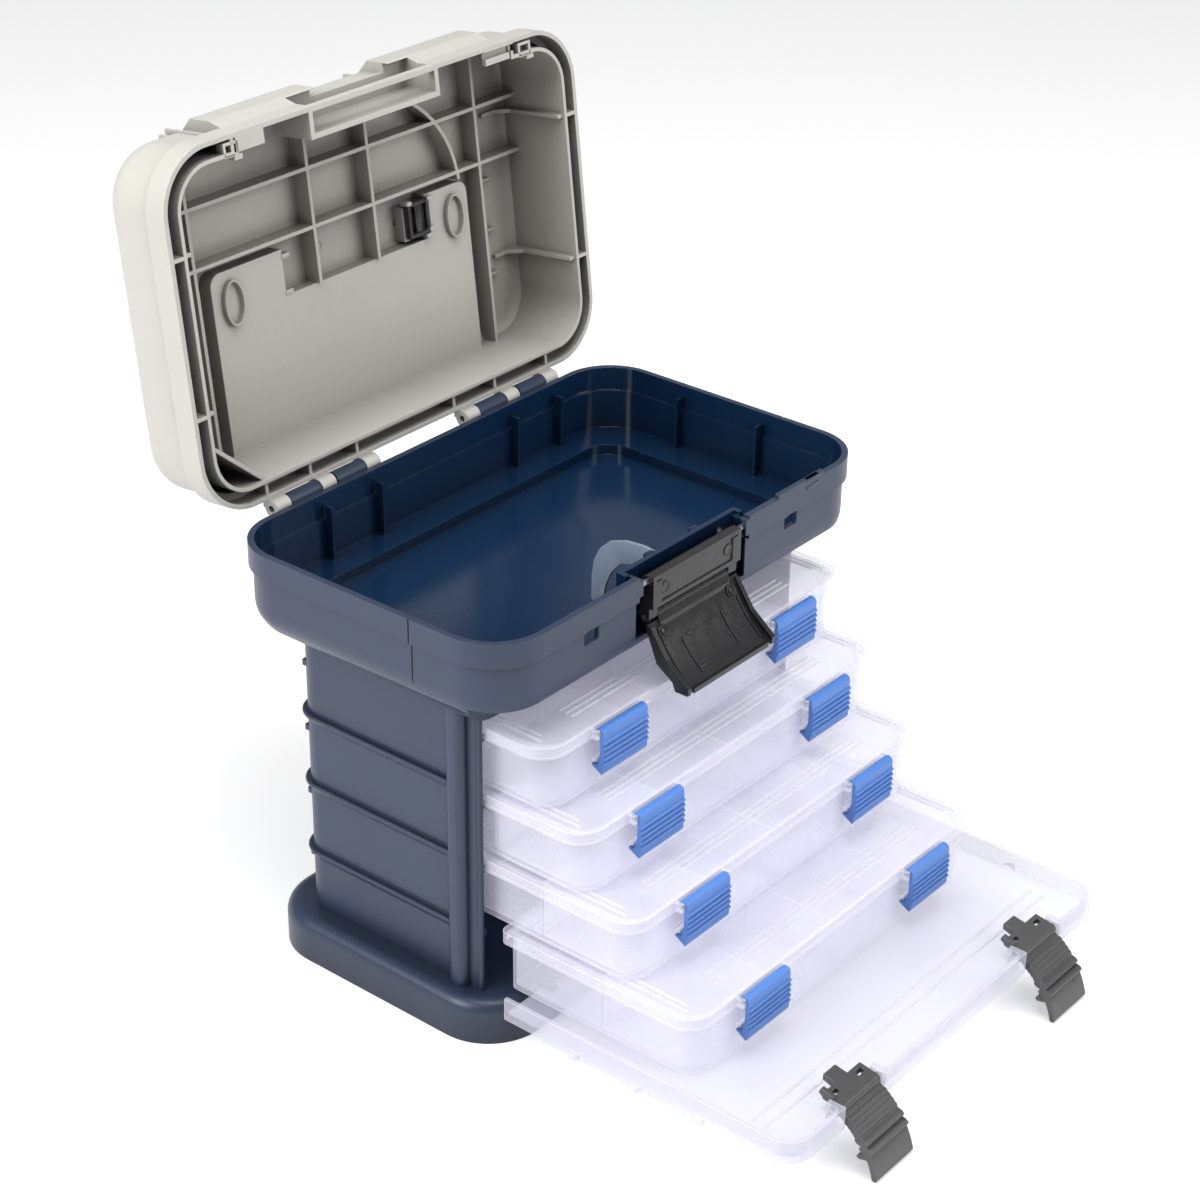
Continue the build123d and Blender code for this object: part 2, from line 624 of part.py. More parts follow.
    # Wall across the left rear corner
    corner_rise = lid_height - lid_wall
    corner_ends = ((-wall_x, corner_rib_front - lid_hinge_y), (-corner_rib_half, back - skin_inset - over))
    with BuildSketch(lid_frame.offset(seat + groove_rib_drop)):
        with BuildLine():
            corner_line = Line(*corner_ends)
            offset(corner_line, amount=lid_rib_thickness / 2, side=Side.BOTH)
        make_face()
    extrude(amount=corner_rise - groove_rib_drop)
    # Notch for the main latch with its own walls, and the bar that the latch pulls on
    housing_depth, housing_height = lid_notch_depth + lid_wall - lip_wall, lid_notch_height + lid_wall
    with Locations((latch_x, front + lip_wall + housing_depth / 2, seat + housing_height / 2)):
        Box(notch_width + 2 * lid_wall, housing_depth, housing_height)
    with Locations((latch_x, front + lid_notch_depth / 2 - over, seat + lid_notch_height / 2 - over)):
        Box(notch_width, lid_notch_depth + 2 * over, lid_notch_height + 2 * over, mode=Mode.SUBTRACT)
    with Locations((latch_x, front + keeper_thickness / 2, seat + keeper_height / 2)):
        Box(notch_width + 2, keeper_thickness, keeper_height)
    # Handle slots with their bosses, bored for the pins
    slot_width = handle_foot_width + 2 * handle_slot_play
    boss_length = slot_width + 2 * handle_boss_wall
    boss_width = 2 * handle_foot_radius + 2 * handle_slot_play + 2 * handle_boss_wall
    boss_height = handle_foot_radius + handle_slot_play + lid_wall / 2
    foot_places = both(handle_half_span)
    with Locations(*[(x, handle_y, handle_z - boss_height / 2) for x in foot_places]):
        Box(boss_length, boss_width, boss_height)
    slot_half = handle_foot_radius + handle_slot_play
    slot_height = handle_pivot_drop + slot_half + over
    slot_middle = top + over - slot_height / 2
    with Locations(*[(x, handle_y, slot_middle) for x in foot_places]):
        Box(slot_width, 2 * slot_half, slot_height, mode=Mode.SUBTRACT)
    # The right foot shows through its boss, which is open below
    with Locations((handle_half_span, handle_y, handle_z - boss_height)):
        Box(handle_foot_width, 2 * handle_foot_radius, 2 * boss_height, mode=Mode.SUBTRACT)
    neck_length = bridge_back + over - lid_hinge_y - handle_y
    with Locations(*[(x, handle_y + neck_length / 2, handle_z + handle_thickness / 2) for x in foot_places]):
        Box(slot_width, neck_length, 2 * handle_thickness + over, mode=Mode.SUBTRACT)
    with Locations(*[(x, handle_y, handle_z) for x in foot_places]):
        Cylinder(pin_radius + pin_play, boss_length, rotation=across_x, mode=Mode.SUBTRACT)
    # Hinge barrels
    lid_barrels = [side + offset_x for side in both(hinge_group) for offset_x in lid_barrel_offsets]
    with Locations(*[(x, -hinge_behind / 2 - over, seat + lug_height / 2) for x in lid_barrels]):
        Box(lid_barrel_length, hinge_behind + 2 * over, lug_height)
    with Locations(*[(x, 0, 0) for x in lid_barrels]):
        Cylinder(hinge_barrel, lid_barrel_length, rotation=across_x)
    with Locations(*[(x, 0, 0) for x in lid_barrels]):
        Cylinder(pin_radius + pin_play, lid_barrel_length, rotation=across_x, mode=Mode.SUBTRACT)
save(lid_shell, "lid_shell")

# Hinge pins of the lid, set in at the left, with a head at the right
group_half = lid_barrel_offsets[-1] + lid_barrel_length / 2
pin_length = 2 * group_half - pin_set_in
for side, name in ((-1, "left"), (1, "right")):
    with BuildPart() as lid_pin:
        with Locations((side * hinge_group + pin_set_in / 2, lid_hinge_y, lid_hinge_z)):
            Cylinder(pin_radius, pin_length, rotation=across_x)
        with Locations((side * hinge_group + group_half + pin_head_height / 2, lid_hinge_y, lid_hinge_z)):
            Cylinder(pin_head, pin_head_height, rotation=across_x)
    save(lid_pin, f"lid_hinge_pin_{name}")

# Carrying handle, folded back into the sunk top, and its two pins
with BuildPart(lid_frame) as handle:
    half = handle_half_span + handle_foot_width / 2
    wide = half + handle_flare
    neck_y, grip_y = bridge_back + handle_neck_set_back - lid_hinge_y, handle_y + handle_reach
    arm_y = neck_y + handle_flare
    with BuildSketch(lid_frame.offset(handle_z - handle_sink)):
        with BuildLine():
            Polyline(
                (half, handle_y), (half, neck_y), (wide, arm_y), (wide, grip_y),
                (-wide, grip_y), (-wide, arm_y), (-half, neck_y), (-half, handle_y),
                (handle_foot_width - half, handle_y), (handle_foot_width - half, neck_y), (-half, arm_y),
                (-half, grip_y - handle_bar), (half, grip_y - handle_bar),
                (half, arm_y), (half - handle_foot_width, neck_y), (half - handle_foot_width, handle_y),
                close=True,
            )
        make_face()
        fillet(vertices().group_by(Axis.Y)[-1], handle_round)
    extrude(amount=handle_thickness)
    with Locations(*[(x, handle_y, handle_z) for x in foot_places]):
        Cylinder(handle_foot_radius, handle_foot_width, rotation=across_x)
    with Locations(*[(x, handle_y, handle_z) for x in foot_places]):
        Cylinder(pin_radius + pin_play, handle_foot_width + over, rotation=across_x, mode=Mode.SUBTRACT)
save(handle, "carry_handle")
for side, name in ((-1, "left"), (1, "right")):
    with BuildPart(lid_frame) as handle_pin:
        with Locations((side * handle_half_span, handle_y, handle_z)):
            Cylinder(pin_radius, boss_length - over, rotation=across_x)
    save(handle_pin, f"handle_pin_{name}")

# Main latch: the link hangs from the pin in the notch, the lever from the pin between the link's cheeks
link_frame = Plane(origin=(latch_x, link_pin_y, link_pin_z))
lever_frame = Plane(origin=(latch_x, link_pin_y + lever_pin_back, link_pin_z - lever_pin_down))
plate_back = link_plate - link_plate_front
plate_end = link_plate_end - lever_pin_down
with BuildPart(link_frame) as link:
    Cylinder(link_barrel, link_width, rotation=across_x)
    with BuildSketch(side_of(link_frame, -link_width / 2)):
        with BuildLine():
            Polyline(
                (0, link_barrel), (-link_plate_front, link_barrel), (-link_plate_front, plate_end),
                (plate_back, plate_end), (plate_back, 0), (0, 0), close=True,
            )
        make_face()
    extrude(amount=link_width)
    # Sunk face of the plate
    face_height = link_barrel - plate_end - 2 * link_border
    with Locations((0, -link_plate_front, (link_barrel + plate_end) / 2)):
        Box(link_width - 2 * link_border, 2 * link_recess, face_height, mode=Mode.SUBTRACT)
    # Cheeks down to the lever's pin
    cheek_front, cheek_back = lever_pin_back - knuckle_radius, lever_pin_back + knuckle_radius
    for x in (-link_width / 2, link_width / 2 - link_cheek):
        with BuildSketch(side_of(link_frame, x)):
            with BuildLine():
                Polyline(
                    (-link_plate_front, 0), (-link_plate_front, plate_end), (cheek_front, plate_end),
                    (cheek_front, -lever_pin_down), (cheek_back, -lever_pin_down), (cheek_back, 0),
                    close=True,
                )
            make_face()
            with Locations((lever_pin_back, -lever_pin_down)):
                Circle(knuckle_radius)
        extrude(amount=link_cheek)
    Cylinder(latch_pin_radius + pin_play, link_width, rotation=across_x, mode=Mode.SUBTRACT)
    with Locations((0, lever_pin_back, -lever_pin_down)):
        Cylinder(latch_pin_radius + pin_play, link_width, rotation=across_x, mode=Mode.SUBTRACT)
save(link, "main_latch_link")

lever_knuckle = link_width - 2 * link_cheek - 2 * latch_clear
lever_start = (-lever_set_out, -knuckle_radius - lever_thickness / 2)
lever_end = (-lever_reach, -lever_drop)
lever_bulge = tuple((start + end) / 2 + bow for start, end, bow in zip(lever_start, lever_end, lever_bow))
with BuildPart(lever_frame) as lever:
    with BuildSketch(side_of(lever_frame, -lever_knuckle / 2)):
        Circle(knuckle_radius)
        with BuildLine():
            Polyline(
                (-knuckle_radius, 0), (lever_start[0] - lever_thickness, lever_start[1]),
                (lever_start[0] - lever_thickness, 2 * lever_start[1]), (knuckle_radius, -knuckle_radius / 2),
                close=True,
            )
        make_face()
    extrude(amount=lever_knuckle)
    Cylinder(latch_pin_radius + pin_play, lever_knuckle, rotation=across_x, mode=Mode.SUBTRACT)
    with BuildSketch(side_of(lever_frame, -lever_width / 2)):
        with BuildLine():
            lever_line_shape = ThreePointArc(lever_start, lever_bulge, lever_end)
            offset(lever_line_shape, amount=lever_thickness / 2, side=Side.BOTH)
        make_face()
    extrude(amount=lever_width)
    # Raised cheeks down both sides, each with a hooked foot, and the lip along the free edge
    tip_y, tip_z = lever_end
    for x in (-lever_width / 2, lever_width / 2 - lever_cheek):
        with BuildSketch(side_of(lever_frame, x)):
            with BuildLine():
                Polyline(
                    (lever_start[0] - lever_thickness, lever_start[1]),
                    (lever_bulge[0] - lever_cheek_proud, lever_bulge[1] + lever_thickness / 2),
                    (tip_y - lever_cheek_proud, tip_z + lever_cheek_proud),
                    (tip_y - lever_thickness, tip_z - lever_foot), (tip_y + lever_hook, tip_z - lever_foot),
                    (tip_y + lever_hook + lever_hook_toe, tip_z + lever_hook_rise),
                    (lever_bulge[0] + lever_cheek_back, lever_bulge[1] - lever_thickness),
                    (lever_start[0], lever_start[1] - lever_thickness), close=True,
                )
            make_face()
        extrude(amount=lever_cheek)
    with Locations((0, tip_y - lever_thickness / 2, tip_z)):
        Box(lever_width - 4 * lever_cheek, lever_lip, lever_lip)
save(lever, "main_latch_lever")

with BuildPart(link_frame) as link_pin:
    Cylinder(latch_pin_radius, notch_width - 2 * over, rotation=across_x)
save(link_pin, "latch_link_pin")
with BuildPart(lever_frame) as lever_pin:
    Cylinder(latch_pin_radius, link_width - over, rotation=across_x)
save(lever_pin, "latch_lever_pin")

# Clear door, folded down level on its hinge
catch_pin_y, catch_pin_z = door_hinge_y - door_reach + catch_pin_inset, door_hinge_z + catch_pin_rise
with BuildPart(door_frame) as door:
    door_middle = (door_heel - door_reach) / 2
    door_length = door_reach + door_heel
    with BuildSketch(door_frame.offset(door_under)):
        with Locations((0, door_middle)):
            Rectangle(door_width, door_length)
        fillet(vertices().group_by(Axis.Y)[0], door_corner)
    extrude(amount=door_flange - door_under)
    with BuildSketch(door_frame.offset(door_over)):
        with Locations((0, door_middle + door_flange_wall)):
            Rectangle(door_width - 2 * door_flange_wall, door_length)
        fillet(vertices().group_by(Axis.Y)[0], door_corner - door_flange_wall)
    extrude(amount=door_flange - door_over, mode=Mode.SUBTRACT)
    bumps = [door_hinge_z - level for level in tray_levels if level > tray_lowest]
    door_thickness = door_over - door_under
    bump_places = [(x, v, door_under + door_thickness / 2) for x in both(door_width / 2) for v in bumps]
    with Locations(*bump_places):
        Cylinder(door_bump_radius, door_thickness)
    # Ridges along the far end
    with Locations(*[(0, inset - door_reach, door_over + tray_ridge / 2 - sunk_in) for inset in door_ridges]):
        Box(door_width - 2 * door_corner, tray_ridge_width, tray_ridge + 2 * sunk_in)
    # Pockets in the far edge for the two latches, with ears for their pins
    pocket_play = catch_width + 2 * catch_pocket_play
    pocket_width = pocket_play + 2 * catch_ear
    pocket_depth = catch_pin_inset + catch_barrel + catch_pocket_play
    for x in both(catch_x):
        with Locations((x, -door_reach + pocket_depth / 2 - over, (door_under + door_flange) / 2)):
            Box(pocket_play, pocket_depth + 2 * over, door_flange, mode=Mode.SUBTRACT)
        ears = [x + end for end in both((pocket_play + catch_ear) / 2)]
        with Locations(*[(ear, catch_pin_inset - door_reach, (door_over + door_flange) / 2) for ear in ears]):
            Box(catch_ear, 2 * catch_barrel, door_flange - door_over)
        with Locations((x, catch_pin_inset - door_reach, catch_pin_rise)):
            Cylinder(door_pin_radius + pin_play, pocket_width, rotation=across_x, mode=Mode.SUBTRACT)
    # Hinge knuckles, with room for the knuckles of the base
    knuckle_room = door_knuckle + 2 * base_knuckle + 4 * knuckle_gap
    with Locations(*[(x, 0, door_over) for x in both(door_hinge_x)]):
        Box(knuckle_room, 2 * (door_barrel + door_knuckle_clear), 3 * door_over, mode=Mode.SUBTRACT)
    tongue_length = door_barrel + 3 * door_knuckle_clear
    with Locations(*[(x, -tongue_length / 2, door_under + door_thickness / 2) for x in both(door_hinge_x)]):
        Box(door_knuckle, tongue_length, door_thickness - 2 * knuckle_gap)
    with Locations(*[(x, 0, 0) for x in both(door_hinge_x)]):
        Cylinder(door_barrel, door_knuckle, rotation=across_x)
    with Locations(*[(x, 0, 0) for x in both(door_hinge_x)]):
        Cylinder(pin_radius + pin_play, door_knuckle, rotation=across_x, mode=Mode.SUBTRACT)
save(door, "front_door")

for side, name in ((-1, "left"), (1, "right")):
    with BuildPart(door_frame) as door_pin:
        with Locations((side * door_hinge_x, 0, 0)):
            Cylinder(pin_radius, door_knuckle + 2 * base_knuckle + 2 * knuckle_gap, rotation=across_x)
    save(door_pin, f"door_hinge_pin_{name}")

# Door latches: ribbed lever, barrel, a neck with two slots and the tongue that hooks into the bin's window
for side, name in ((-1, "left"), (1, "right")):
    catch_frame = Plane(origin=(side * catch_x, catch_pin_y, catch_pin_z))
    with BuildPart(catch_frame) as catch:
        with BuildSketch(side_of(catch_frame, -catch_width / 2)):
            with BuildLine():
                sweep_line = ThreePointArc(
                    (-over, -over), (-catch_reach / 2 - catch_bow[0], catch_bow[1] - catch_drop / 2),
                    (-catch_reach, -catch_drop),
                )
                offset(sweep_line, amount=catch_thickness / 2, side=Side.BOTH)
            make_face()
            Circle(catch_barrel)
        extrude(amount=catch_width)
        with BuildSketch(side_of(catch_frame, -catch_width / 2)):
            with Locations(*[sweep_line @ place for place in fine_ribs]):
                Circle(catch_thickness / 2 + catch_rib_proud)
            with Locations(*[sweep_line @ place for place in broad_ribs]):
                Ellipse(catch_thickness + catch_rib_proud, catch_thickness / 2 + catch_rib_proud)
        extrude(amount=catch_width)
        with BuildSketch(side_of(catch_frame, -tongue_width / 2)):
            with BuildLine():
                Polyline(
                    (0, catch_barrel), (tongue_reach, tongue_rise + tongue_half),
                    (tongue_reach, tongue_rise - tongue_half), (0, -catch_barrel / 2), close=True,
                )
            make_face()
        extrude(amount=tongue_width)
        # Neck beside the tongue, open in two slots
        with BuildSketch(side_of(catch_frame, -catch_width / 2)):
            with BuildLine():
                Polyline(
                    (0, catch_barrel), (neck_reach, catch_barrel + tongue_half),
                    (neck_reach, catch_barrel - tongue_half), (0, 0), close=True,
                )
            make_face()
        extrude(amount=catch_width)
        slot_x = (catch_width + tongue_width) / 4
        with Locations(*[(x, catch_barrel + neck_slot / 4, catch_barrel / 2) for x in both(slot_x)]):
            Box(neck_slot, neck_slot / 2, 3 * catch_barrel, mode=Mode.SUBTRACT)
        Cylinder(door_pin_radius + pin_play, catch_width, rotation=across_x, mode=Mode.SUBTRACT)
    save(catch, f"door_latch_{name}")
    with BuildPart(catch_frame) as catch_pin:
        Cylinder(door_pin_radius, pocket_width - over, rotation=across_x)
    save(catch_pin, f"door_latch_pin_{name}")

# Organisers, each a box, a lid, loose dividers and two ribbed latches
clip_places = both(clip_spacing / 2)
rod_y, rod_z = -clip_rod_stand, tray_height - clip_rod_drop
box_height = tray_height - tray_lid_top
body_width = tray_width - 2 * tray_flange
body_depth = tray_depth - 2 * (tray_wall + tray_fit)
row_depth = (body_depth - 3 * tray_wall) / 2
for number, (drawn, level) in enumerate(zip(tray_drawn, tray_levels), start=1):
    tray_frame = Plane(origin=(0, tray_home - drawn, level))

    with BuildPart(tray_frame) as box:
        with BuildSketch(tray_frame):
            with Locations((0, tray_depth / 2)):
                Rectangle(body_width, body_depth)
            fillet(vertices().group_by(Axis.Y)[0], tray_corner - tray_wall)
            fillet(vertices().group_by(Axis.Y)[-1], tray_rear_corner)
        extrude(amount=box_height - tray_fit)
        offset(amount=-tray_wall, openings=box.faces().sort_by(Axis.Z)[-1])
        shelf_y = tray_depth / 2
        inside = body_width - 2 * tray_wall
        with Locations((0, shelf_y, box_height / 2 - tray_fit)):
            Box(inside + over, tray_wall, box_height - 2 * (tray_fit + over))
        pitch = inside / (slot_ribs + 1)
        slot_places = [(place - (slot_ribs - 1) / 2) * pitch for place in range(slot_ribs)]
        rib_offset = (divider_thickness + slot_rib) / 2 + divider_play
        slot_rib_places = [
            (x + end, shelf_y + face) for x in slot_places for end in both(rib_offset)
            for face in both((tray_wall + slot_rib) / 2)
        ]
        with Locations(*[(x, y, box_height / 2 - over) for x, y in slot_rib_places]):
            Box(slot_rib, slot_rib + sunk_in, box_height - tray_lid_height)
        catch_z = tray_height - clip_height + catch_lift + catch_height / 2
        with Locations(*[(x, tray_wall / 2 + over - catch_proud / 2, catch_z) for x in clip_places]):
            Box(clip_width - 2 * over, catch_proud + 2 * over, catch_height)
    save(box, f"tray_{number}_box")

    with BuildPart(tray_frame) as cover:
        with BuildSketch(tray_frame.offset(tray_height - tray_lid_height)):
            with Locations((0, tray_depth / 2)):
                Rectangle(tray_width, tray_depth)
            fillet(vertices().group_by(Axis.Y)[0], tray_corner)
            fillet(vertices().group_by(Axis.Y)[-1], tray_rear_corner)
        extrude(amount=tray_lid_height)
        with BuildSketch(tray_frame.offset(tray_height - tray_lid_height)):
            with Locations((0, tray_depth / 2)):
                Rectangle(tray_width - 2 * tray_wall, tray_depth - 2 * tray_wall)
            fillet(vertices().group_by(Axis.Y)[0], tray_corner - tray_wall)
            fillet(vertices().group_by(Axis.Y)[-1], tray_rear_corner - tray_wall)
        extrude(amount=tray_lid_height - tray_lid_top, mode=Mode.SUBTRACT)
        # Ridges on the top: two round the edge, three behind the latches
        for inset in edge_ridge_insets:
            loop_width, loop_depth = tray_width - 2 * inset, tray_depth - 2 * inset
            line = 2 * tray_ridge_width
            with BuildSketch(tray_frame.offset(tray_height)):
                with Locations((0, tray_depth / 2)):
                    Rectangle(loop_width, loop_depth)
                    Rectangle(loop_width - line, loop_depth - line, mode=Mode.SUBTRACT)
                with Locations((0, inset)):
                    Rectangle(tray_width, 2 * line, mode=Mode.SUBTRACT)
            extrude(amount=tray_ridge)
        with Locations(*[(0, y, tray_height + tray_ridge / 2) for y in front_ridges]):
            Box(clip_spacing + 2 * front_ridge_reach, tray_ridge_width, tray_ridge)
        ear_offset = clip_width / 2 + clip_ear / 2 + knuckle_gap
        ears = [x + end for x in clip_places for end in both(ear_offset)]
        with Locations(*[(x, rod_y / 2, rod_z) for x in ears]):
            Box(clip_ear, clip_rod_stand + 2 * over, 2 * clip_rod + clip_thickness)
        with Locations(*[(x, rod_y, rod_z) for x in clip_places]):
            Cylinder(clip_rod, clip_width + 2 * knuckle_gap + clip_ear, rotation=across_x)
    save(cover, f"tray_{number}_lid")

    with BuildPart(tray_frame) as dividers:
        row_places = [shelf_y + side for side in both((tray_wall + row_depth) / 2)]
        divider_z = tray_wall + divider_play + divider_height / 2
        with Locations(*[(x, y, divider_z) for x in slot_places for y in row_places]):
            Box(divider_thickness, row_depth - 2 * divider_play, divider_height)
    save(dividers, f"tray_{number}_dividers")

    for clip_x, name in zip(clip_places, ("left", "right")):
        clip_frame = Plane(origin=(clip_x, tray_home - drawn + rod_y, level + rod_z))
        with BuildPart(clip_frame) as clip:
            face_y, inner_y = -clip_barrel, clip_thickness - clip_barrel
            foot_z = clip_rod_drop - clip_height
            rib_pitch = (-foot_z - clip_barrel) / (clip_rib_count + 1)
            rib_levels = [-clip_barrel - rib_pitch * (step + 0.6) for step in range(clip_rib_count)]
            hook_y, hook_z = inner_y + clip_hook_reach, foot_z + clip_hook_rise
            with BuildSketch(side_of(clip_frame, -clip_width / 2)):
                Circle(clip_barrel)
                with BuildLine():
                    Polyline(
                        (face_y, 0), (face_y, foot_z), (face_y + clip_toe, foot_z - clip_hook_tip),
                        (hook_y, hook_z - clip_hook_wall), (hook_y, hook_z),
                        (inner_y + clip_hook_reach / 3, hook_z), (inner_y, foot_z / 2), (inner_y, 0),
                        close=True,
                    )
                make_face()
                with Locations(*[(face_y, rib_z) for rib_z in rib_levels]):
                    Circle(clip_rib_proud)
                Circle(clip_rod + pin_play, mode=Mode.SUBTRACT)
            extrude(amount=clip_width)
        save(clip, f"tray_{number}_latch_{name}")
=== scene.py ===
"""Tackle box, dressed for the studio: moulded shells, clear organisers and the small forms that the solids leave out.

Metres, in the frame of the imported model: X to the right seen from the front, Y to the back, Z up.
"""
import json
import logging
from contextlib import contextmanager
from dataclasses import dataclass, field
from enum import Enum
from math import cos, radians, sin
from typing import Any, Callable, Iterator, Optional, Sequence, Union

import bmesh
import bpy
from mathutils import Matrix, Vector


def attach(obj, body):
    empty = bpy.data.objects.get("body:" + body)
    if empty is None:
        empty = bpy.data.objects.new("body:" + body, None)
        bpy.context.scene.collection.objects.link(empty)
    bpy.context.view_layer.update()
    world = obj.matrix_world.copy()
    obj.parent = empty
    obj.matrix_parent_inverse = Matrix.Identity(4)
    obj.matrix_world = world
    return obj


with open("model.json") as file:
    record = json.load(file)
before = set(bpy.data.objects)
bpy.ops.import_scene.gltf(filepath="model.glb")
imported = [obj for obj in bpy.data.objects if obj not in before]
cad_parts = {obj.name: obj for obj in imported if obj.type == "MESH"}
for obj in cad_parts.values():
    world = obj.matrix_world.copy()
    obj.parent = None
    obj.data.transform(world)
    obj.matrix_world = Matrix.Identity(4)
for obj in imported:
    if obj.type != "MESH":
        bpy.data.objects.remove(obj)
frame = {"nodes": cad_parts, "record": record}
log = logging.getLogger("tackle_box")

MM = 0.001
Colour = tuple[float, float, float]
Point = tuple[float, float, float]
Number = Union[float, "Wire"]


class Studio(Enum):
    """Parts of the studio that aren't part of the object."""

    FLOOR = "studio_floor"
    KEY = "key_lamp"
    FILL = "fill_lamp"
    TOP = "top_lamp"


class Slot(Enum):
    """The record's material slots."""

    NAVY = "navy_shell"
    GREY = "grey_lid"
    BLACK = "black_latch"
    BLUE = "blue_latch"
    BOX = "clear_box"
    DOOR = "clear_door"
    STEEL = "steel_pin"


class Wire:
    """An output socket that takes part in arithmetic; each operator adds one Math node."""

    def __init__(self, shader: "Shader", socket: bpy.types.NodeSocket) -> None:
        """Hold a socket of a shader.

        Args:
            shader: The shader whose nodes the socket belongs to.
            socket: The output socket.
        """
        self.shader = shader
        self.socket = socket

    def _math(self, operation: str, first: Number, second: Number = 0.0) -> "Wire":
        """Add one Math node.

        Args:
            operation: The node's operation.
            first: Its first value or link.
            second: Its second value or link.

        Returns:
            The node's result.
        """
        return self.shader.wire("ShaderNodeMath", {"operation": operation}, {0: first, 1: second})

    def __add__(self, other: Number) -> "Wire":
        """Sum."""
        return self._math("ADD", self, other)

    __radd__ = __add__

    def __sub__(self, other: Number) -> "Wire":
        """Difference."""
        return self._math("SUBTRACT", self, other)

    def __rsub__(self, other: Number) -> "Wire":
        """Difference, the other way round."""
        return self._math("SUBTRACT", other, self)

    def __mul__(self, other: Number) -> "Wire":
        """Product."""
        return self._math("MULTIPLY", self, other)

    __rmul__ = __mul__

    def above(self, level: Number) -> "Wire":
        """One where the value is above the level, zero elsewhere."""
        return self._math("GREATER_THAN", self, level)

    def below(self, level: Number) -> "Wire":
        """One where the value is below the level, zero elsewhere."""
        return self._math("LESS_THAN", self, level)

    def at_most(self, level: Number) -> "Wire":
        """The smaller of the value and the level."""
        return self._math("MINIMUM", self, level)

    def at_least(self, level: Number) -> "Wire":
        """The larger of the value and the level."""
        return self._math("MAXIMUM", self, level)


class Shader:
    """A material whose nodes are added one by one."""

    def __init__(self, name: str) -> None:
        """Make an empty node material.

        Args:
            name: The material's name.
        """
        self.material = bpy.data.materials.new(name)
        self.material.use_nodes = True
        self.tree = self.material.node_tree
        self.tree.nodes.clear()

    def node(self, kind: str, settings: dict[str, Any], inputs: dict[Any, Any]) -> bpy.types.Node:
        """Add a node, set it up and fill its sockets.

        Args:
            kind: The node's type.
            settings: Its own settings, set before its sockets.
            inputs: Values or links for its sockets, by name or number.

        Returns:
            The node.
        """
        made = self.tree.nodes.new(kind)
        for name, value in settings.items():
            setattr(made, name, value)
        for name, value in inputs.items():
            if isinstance(value, Wire):
                self.tree.links.new(value.socket, made.inputs[name])
            else:
                made.inputs[name].default_value = value
        return made

    def wire(self, kind: str, settings: dict[str, Any], inputs: dict[Any, Any], output: Any = 0) -> Wire:
        """Add a node and return one of its outputs.

        Args:
            kind: The node's type.
            settings: Its own settings.
            inputs: Values or links for its sockets.
            output: The output's name or number.

        Returns:
            The output as a wire.
        """
        return Wire(self, self.node(kind, settings, inputs).outputs[output])

    def place(self) -> Wire:
        """The point of the surface in the object's own space."""
        return self.wire("ShaderNodeTexCoord", {}, {}, "Object")

    def vector(self, operation: str, first: Any, second: Any = (0.0, 0.0, 0.0), output: int = 0) -> Wire:
        """Add one Vector Math node.

        Args:
            operation: The node's operation.
            first: Its first vector or link.
            second: Its second vector or link.
            output: Zero for its vector, one for its number.

        Returns:
            The node's result.
        """
        return self.wire("ShaderNodeVectorMath", {"operation": operation}, {0: first, 1: second}, output)

    def noise(self, scale: float, detail: float = 2.0, roughness: float = 0.5) -> Wire:
        """Noise from 0 to 1 over the object's own space.

        Args:
            scale: Lumps in a metre.
            detail: Octaves of detail.
            roughness: Weight of the finer octaves.

        Returns:
            The noise's value.
        """
        return self.wire("ShaderNodeTexNoise", {}, {
            "Vector": self.place(), "Scale": scale, "Detail": detail, "Roughness": roughness,
        })

    def mix(self, factor: Number, first: Any, second: Any) -> Wire:
        """Blend two colours.

        Args:
            factor: Zero gives the first colour, one the second.
            first: The first colour or link.
            second: The second colour or link.

        Returns:
            The blended colour.
        """
        return self.wire(
            "ShaderNodeMix", {"data_type": "RGBA"},
            {"Factor": factor, 6: _with_alpha(first), 7: _with_alpha(second)}, 2,
        )

    def bump(self, height: Wire, distance: float, strength: float = 1.0, normal: Optional[Wire] = None) -> Wire:
        """Turn a height into a normal.

        Args:
            height: The height, from 0 to 1.
            distance: The height's size in metres.
            strength: How much of it counts.
            normal: The normal that it is laid on, if not the surface's own.

        Returns:
            The bumped normal.
        """
        inputs: dict[Any, Any] = {"Height": height, "Distance": distance, "Strength": strength}
        if normal is not None:
            inputs["Normal"] = normal
        return self.wire("ShaderNodeBump", {}, inputs)

    def soft_edges(self, radius: float) -> Wire:
        """The normal with every sharp edge rounded to a radius in metres."""
        return self.wire("ShaderNodeBevel", {"samples": 4}, {"Radius": radius})

    def shelter(self, reach: float) -> Wire:
        """Near one deep in gaps and cavities, within a reach in metres, and zero in the open; it masks the painted
        shade.
        """
        open_share = self.wire("ShaderNodeAmbientOcclusion", {"samples": 6}, {"Distance": reach}, "AO")
        return 1.0 - open_share

    def edge_mask(self, radius: float) -> Wire:
        """Near one along sharp edges, out to a radius in metres, and zero elsewhere."""
        straight = self.wire("ShaderNodeNewGeometry", {}, {}, "Normal")
        likeness = self.vector("DOT_PRODUCT", self.soft_edges(radius), straight, 1)
        return ((1.0 - likeness) * 4.0).at_most(1.0).at_least(0.0)

    def close(self, surface: Wire) -> bpy.types.Material:
        """Join a surface to the output and return the material."""
        self.node("ShaderNodeOutputMaterial", {}, {"Surface": surface})
        return self.material


def _with_alpha(colour: Any) -> Any:
    """A plain colour with its alpha added, or a wire as it is."""
    return colour if isinstance(colour, Wire) else (*colour, 1.0)


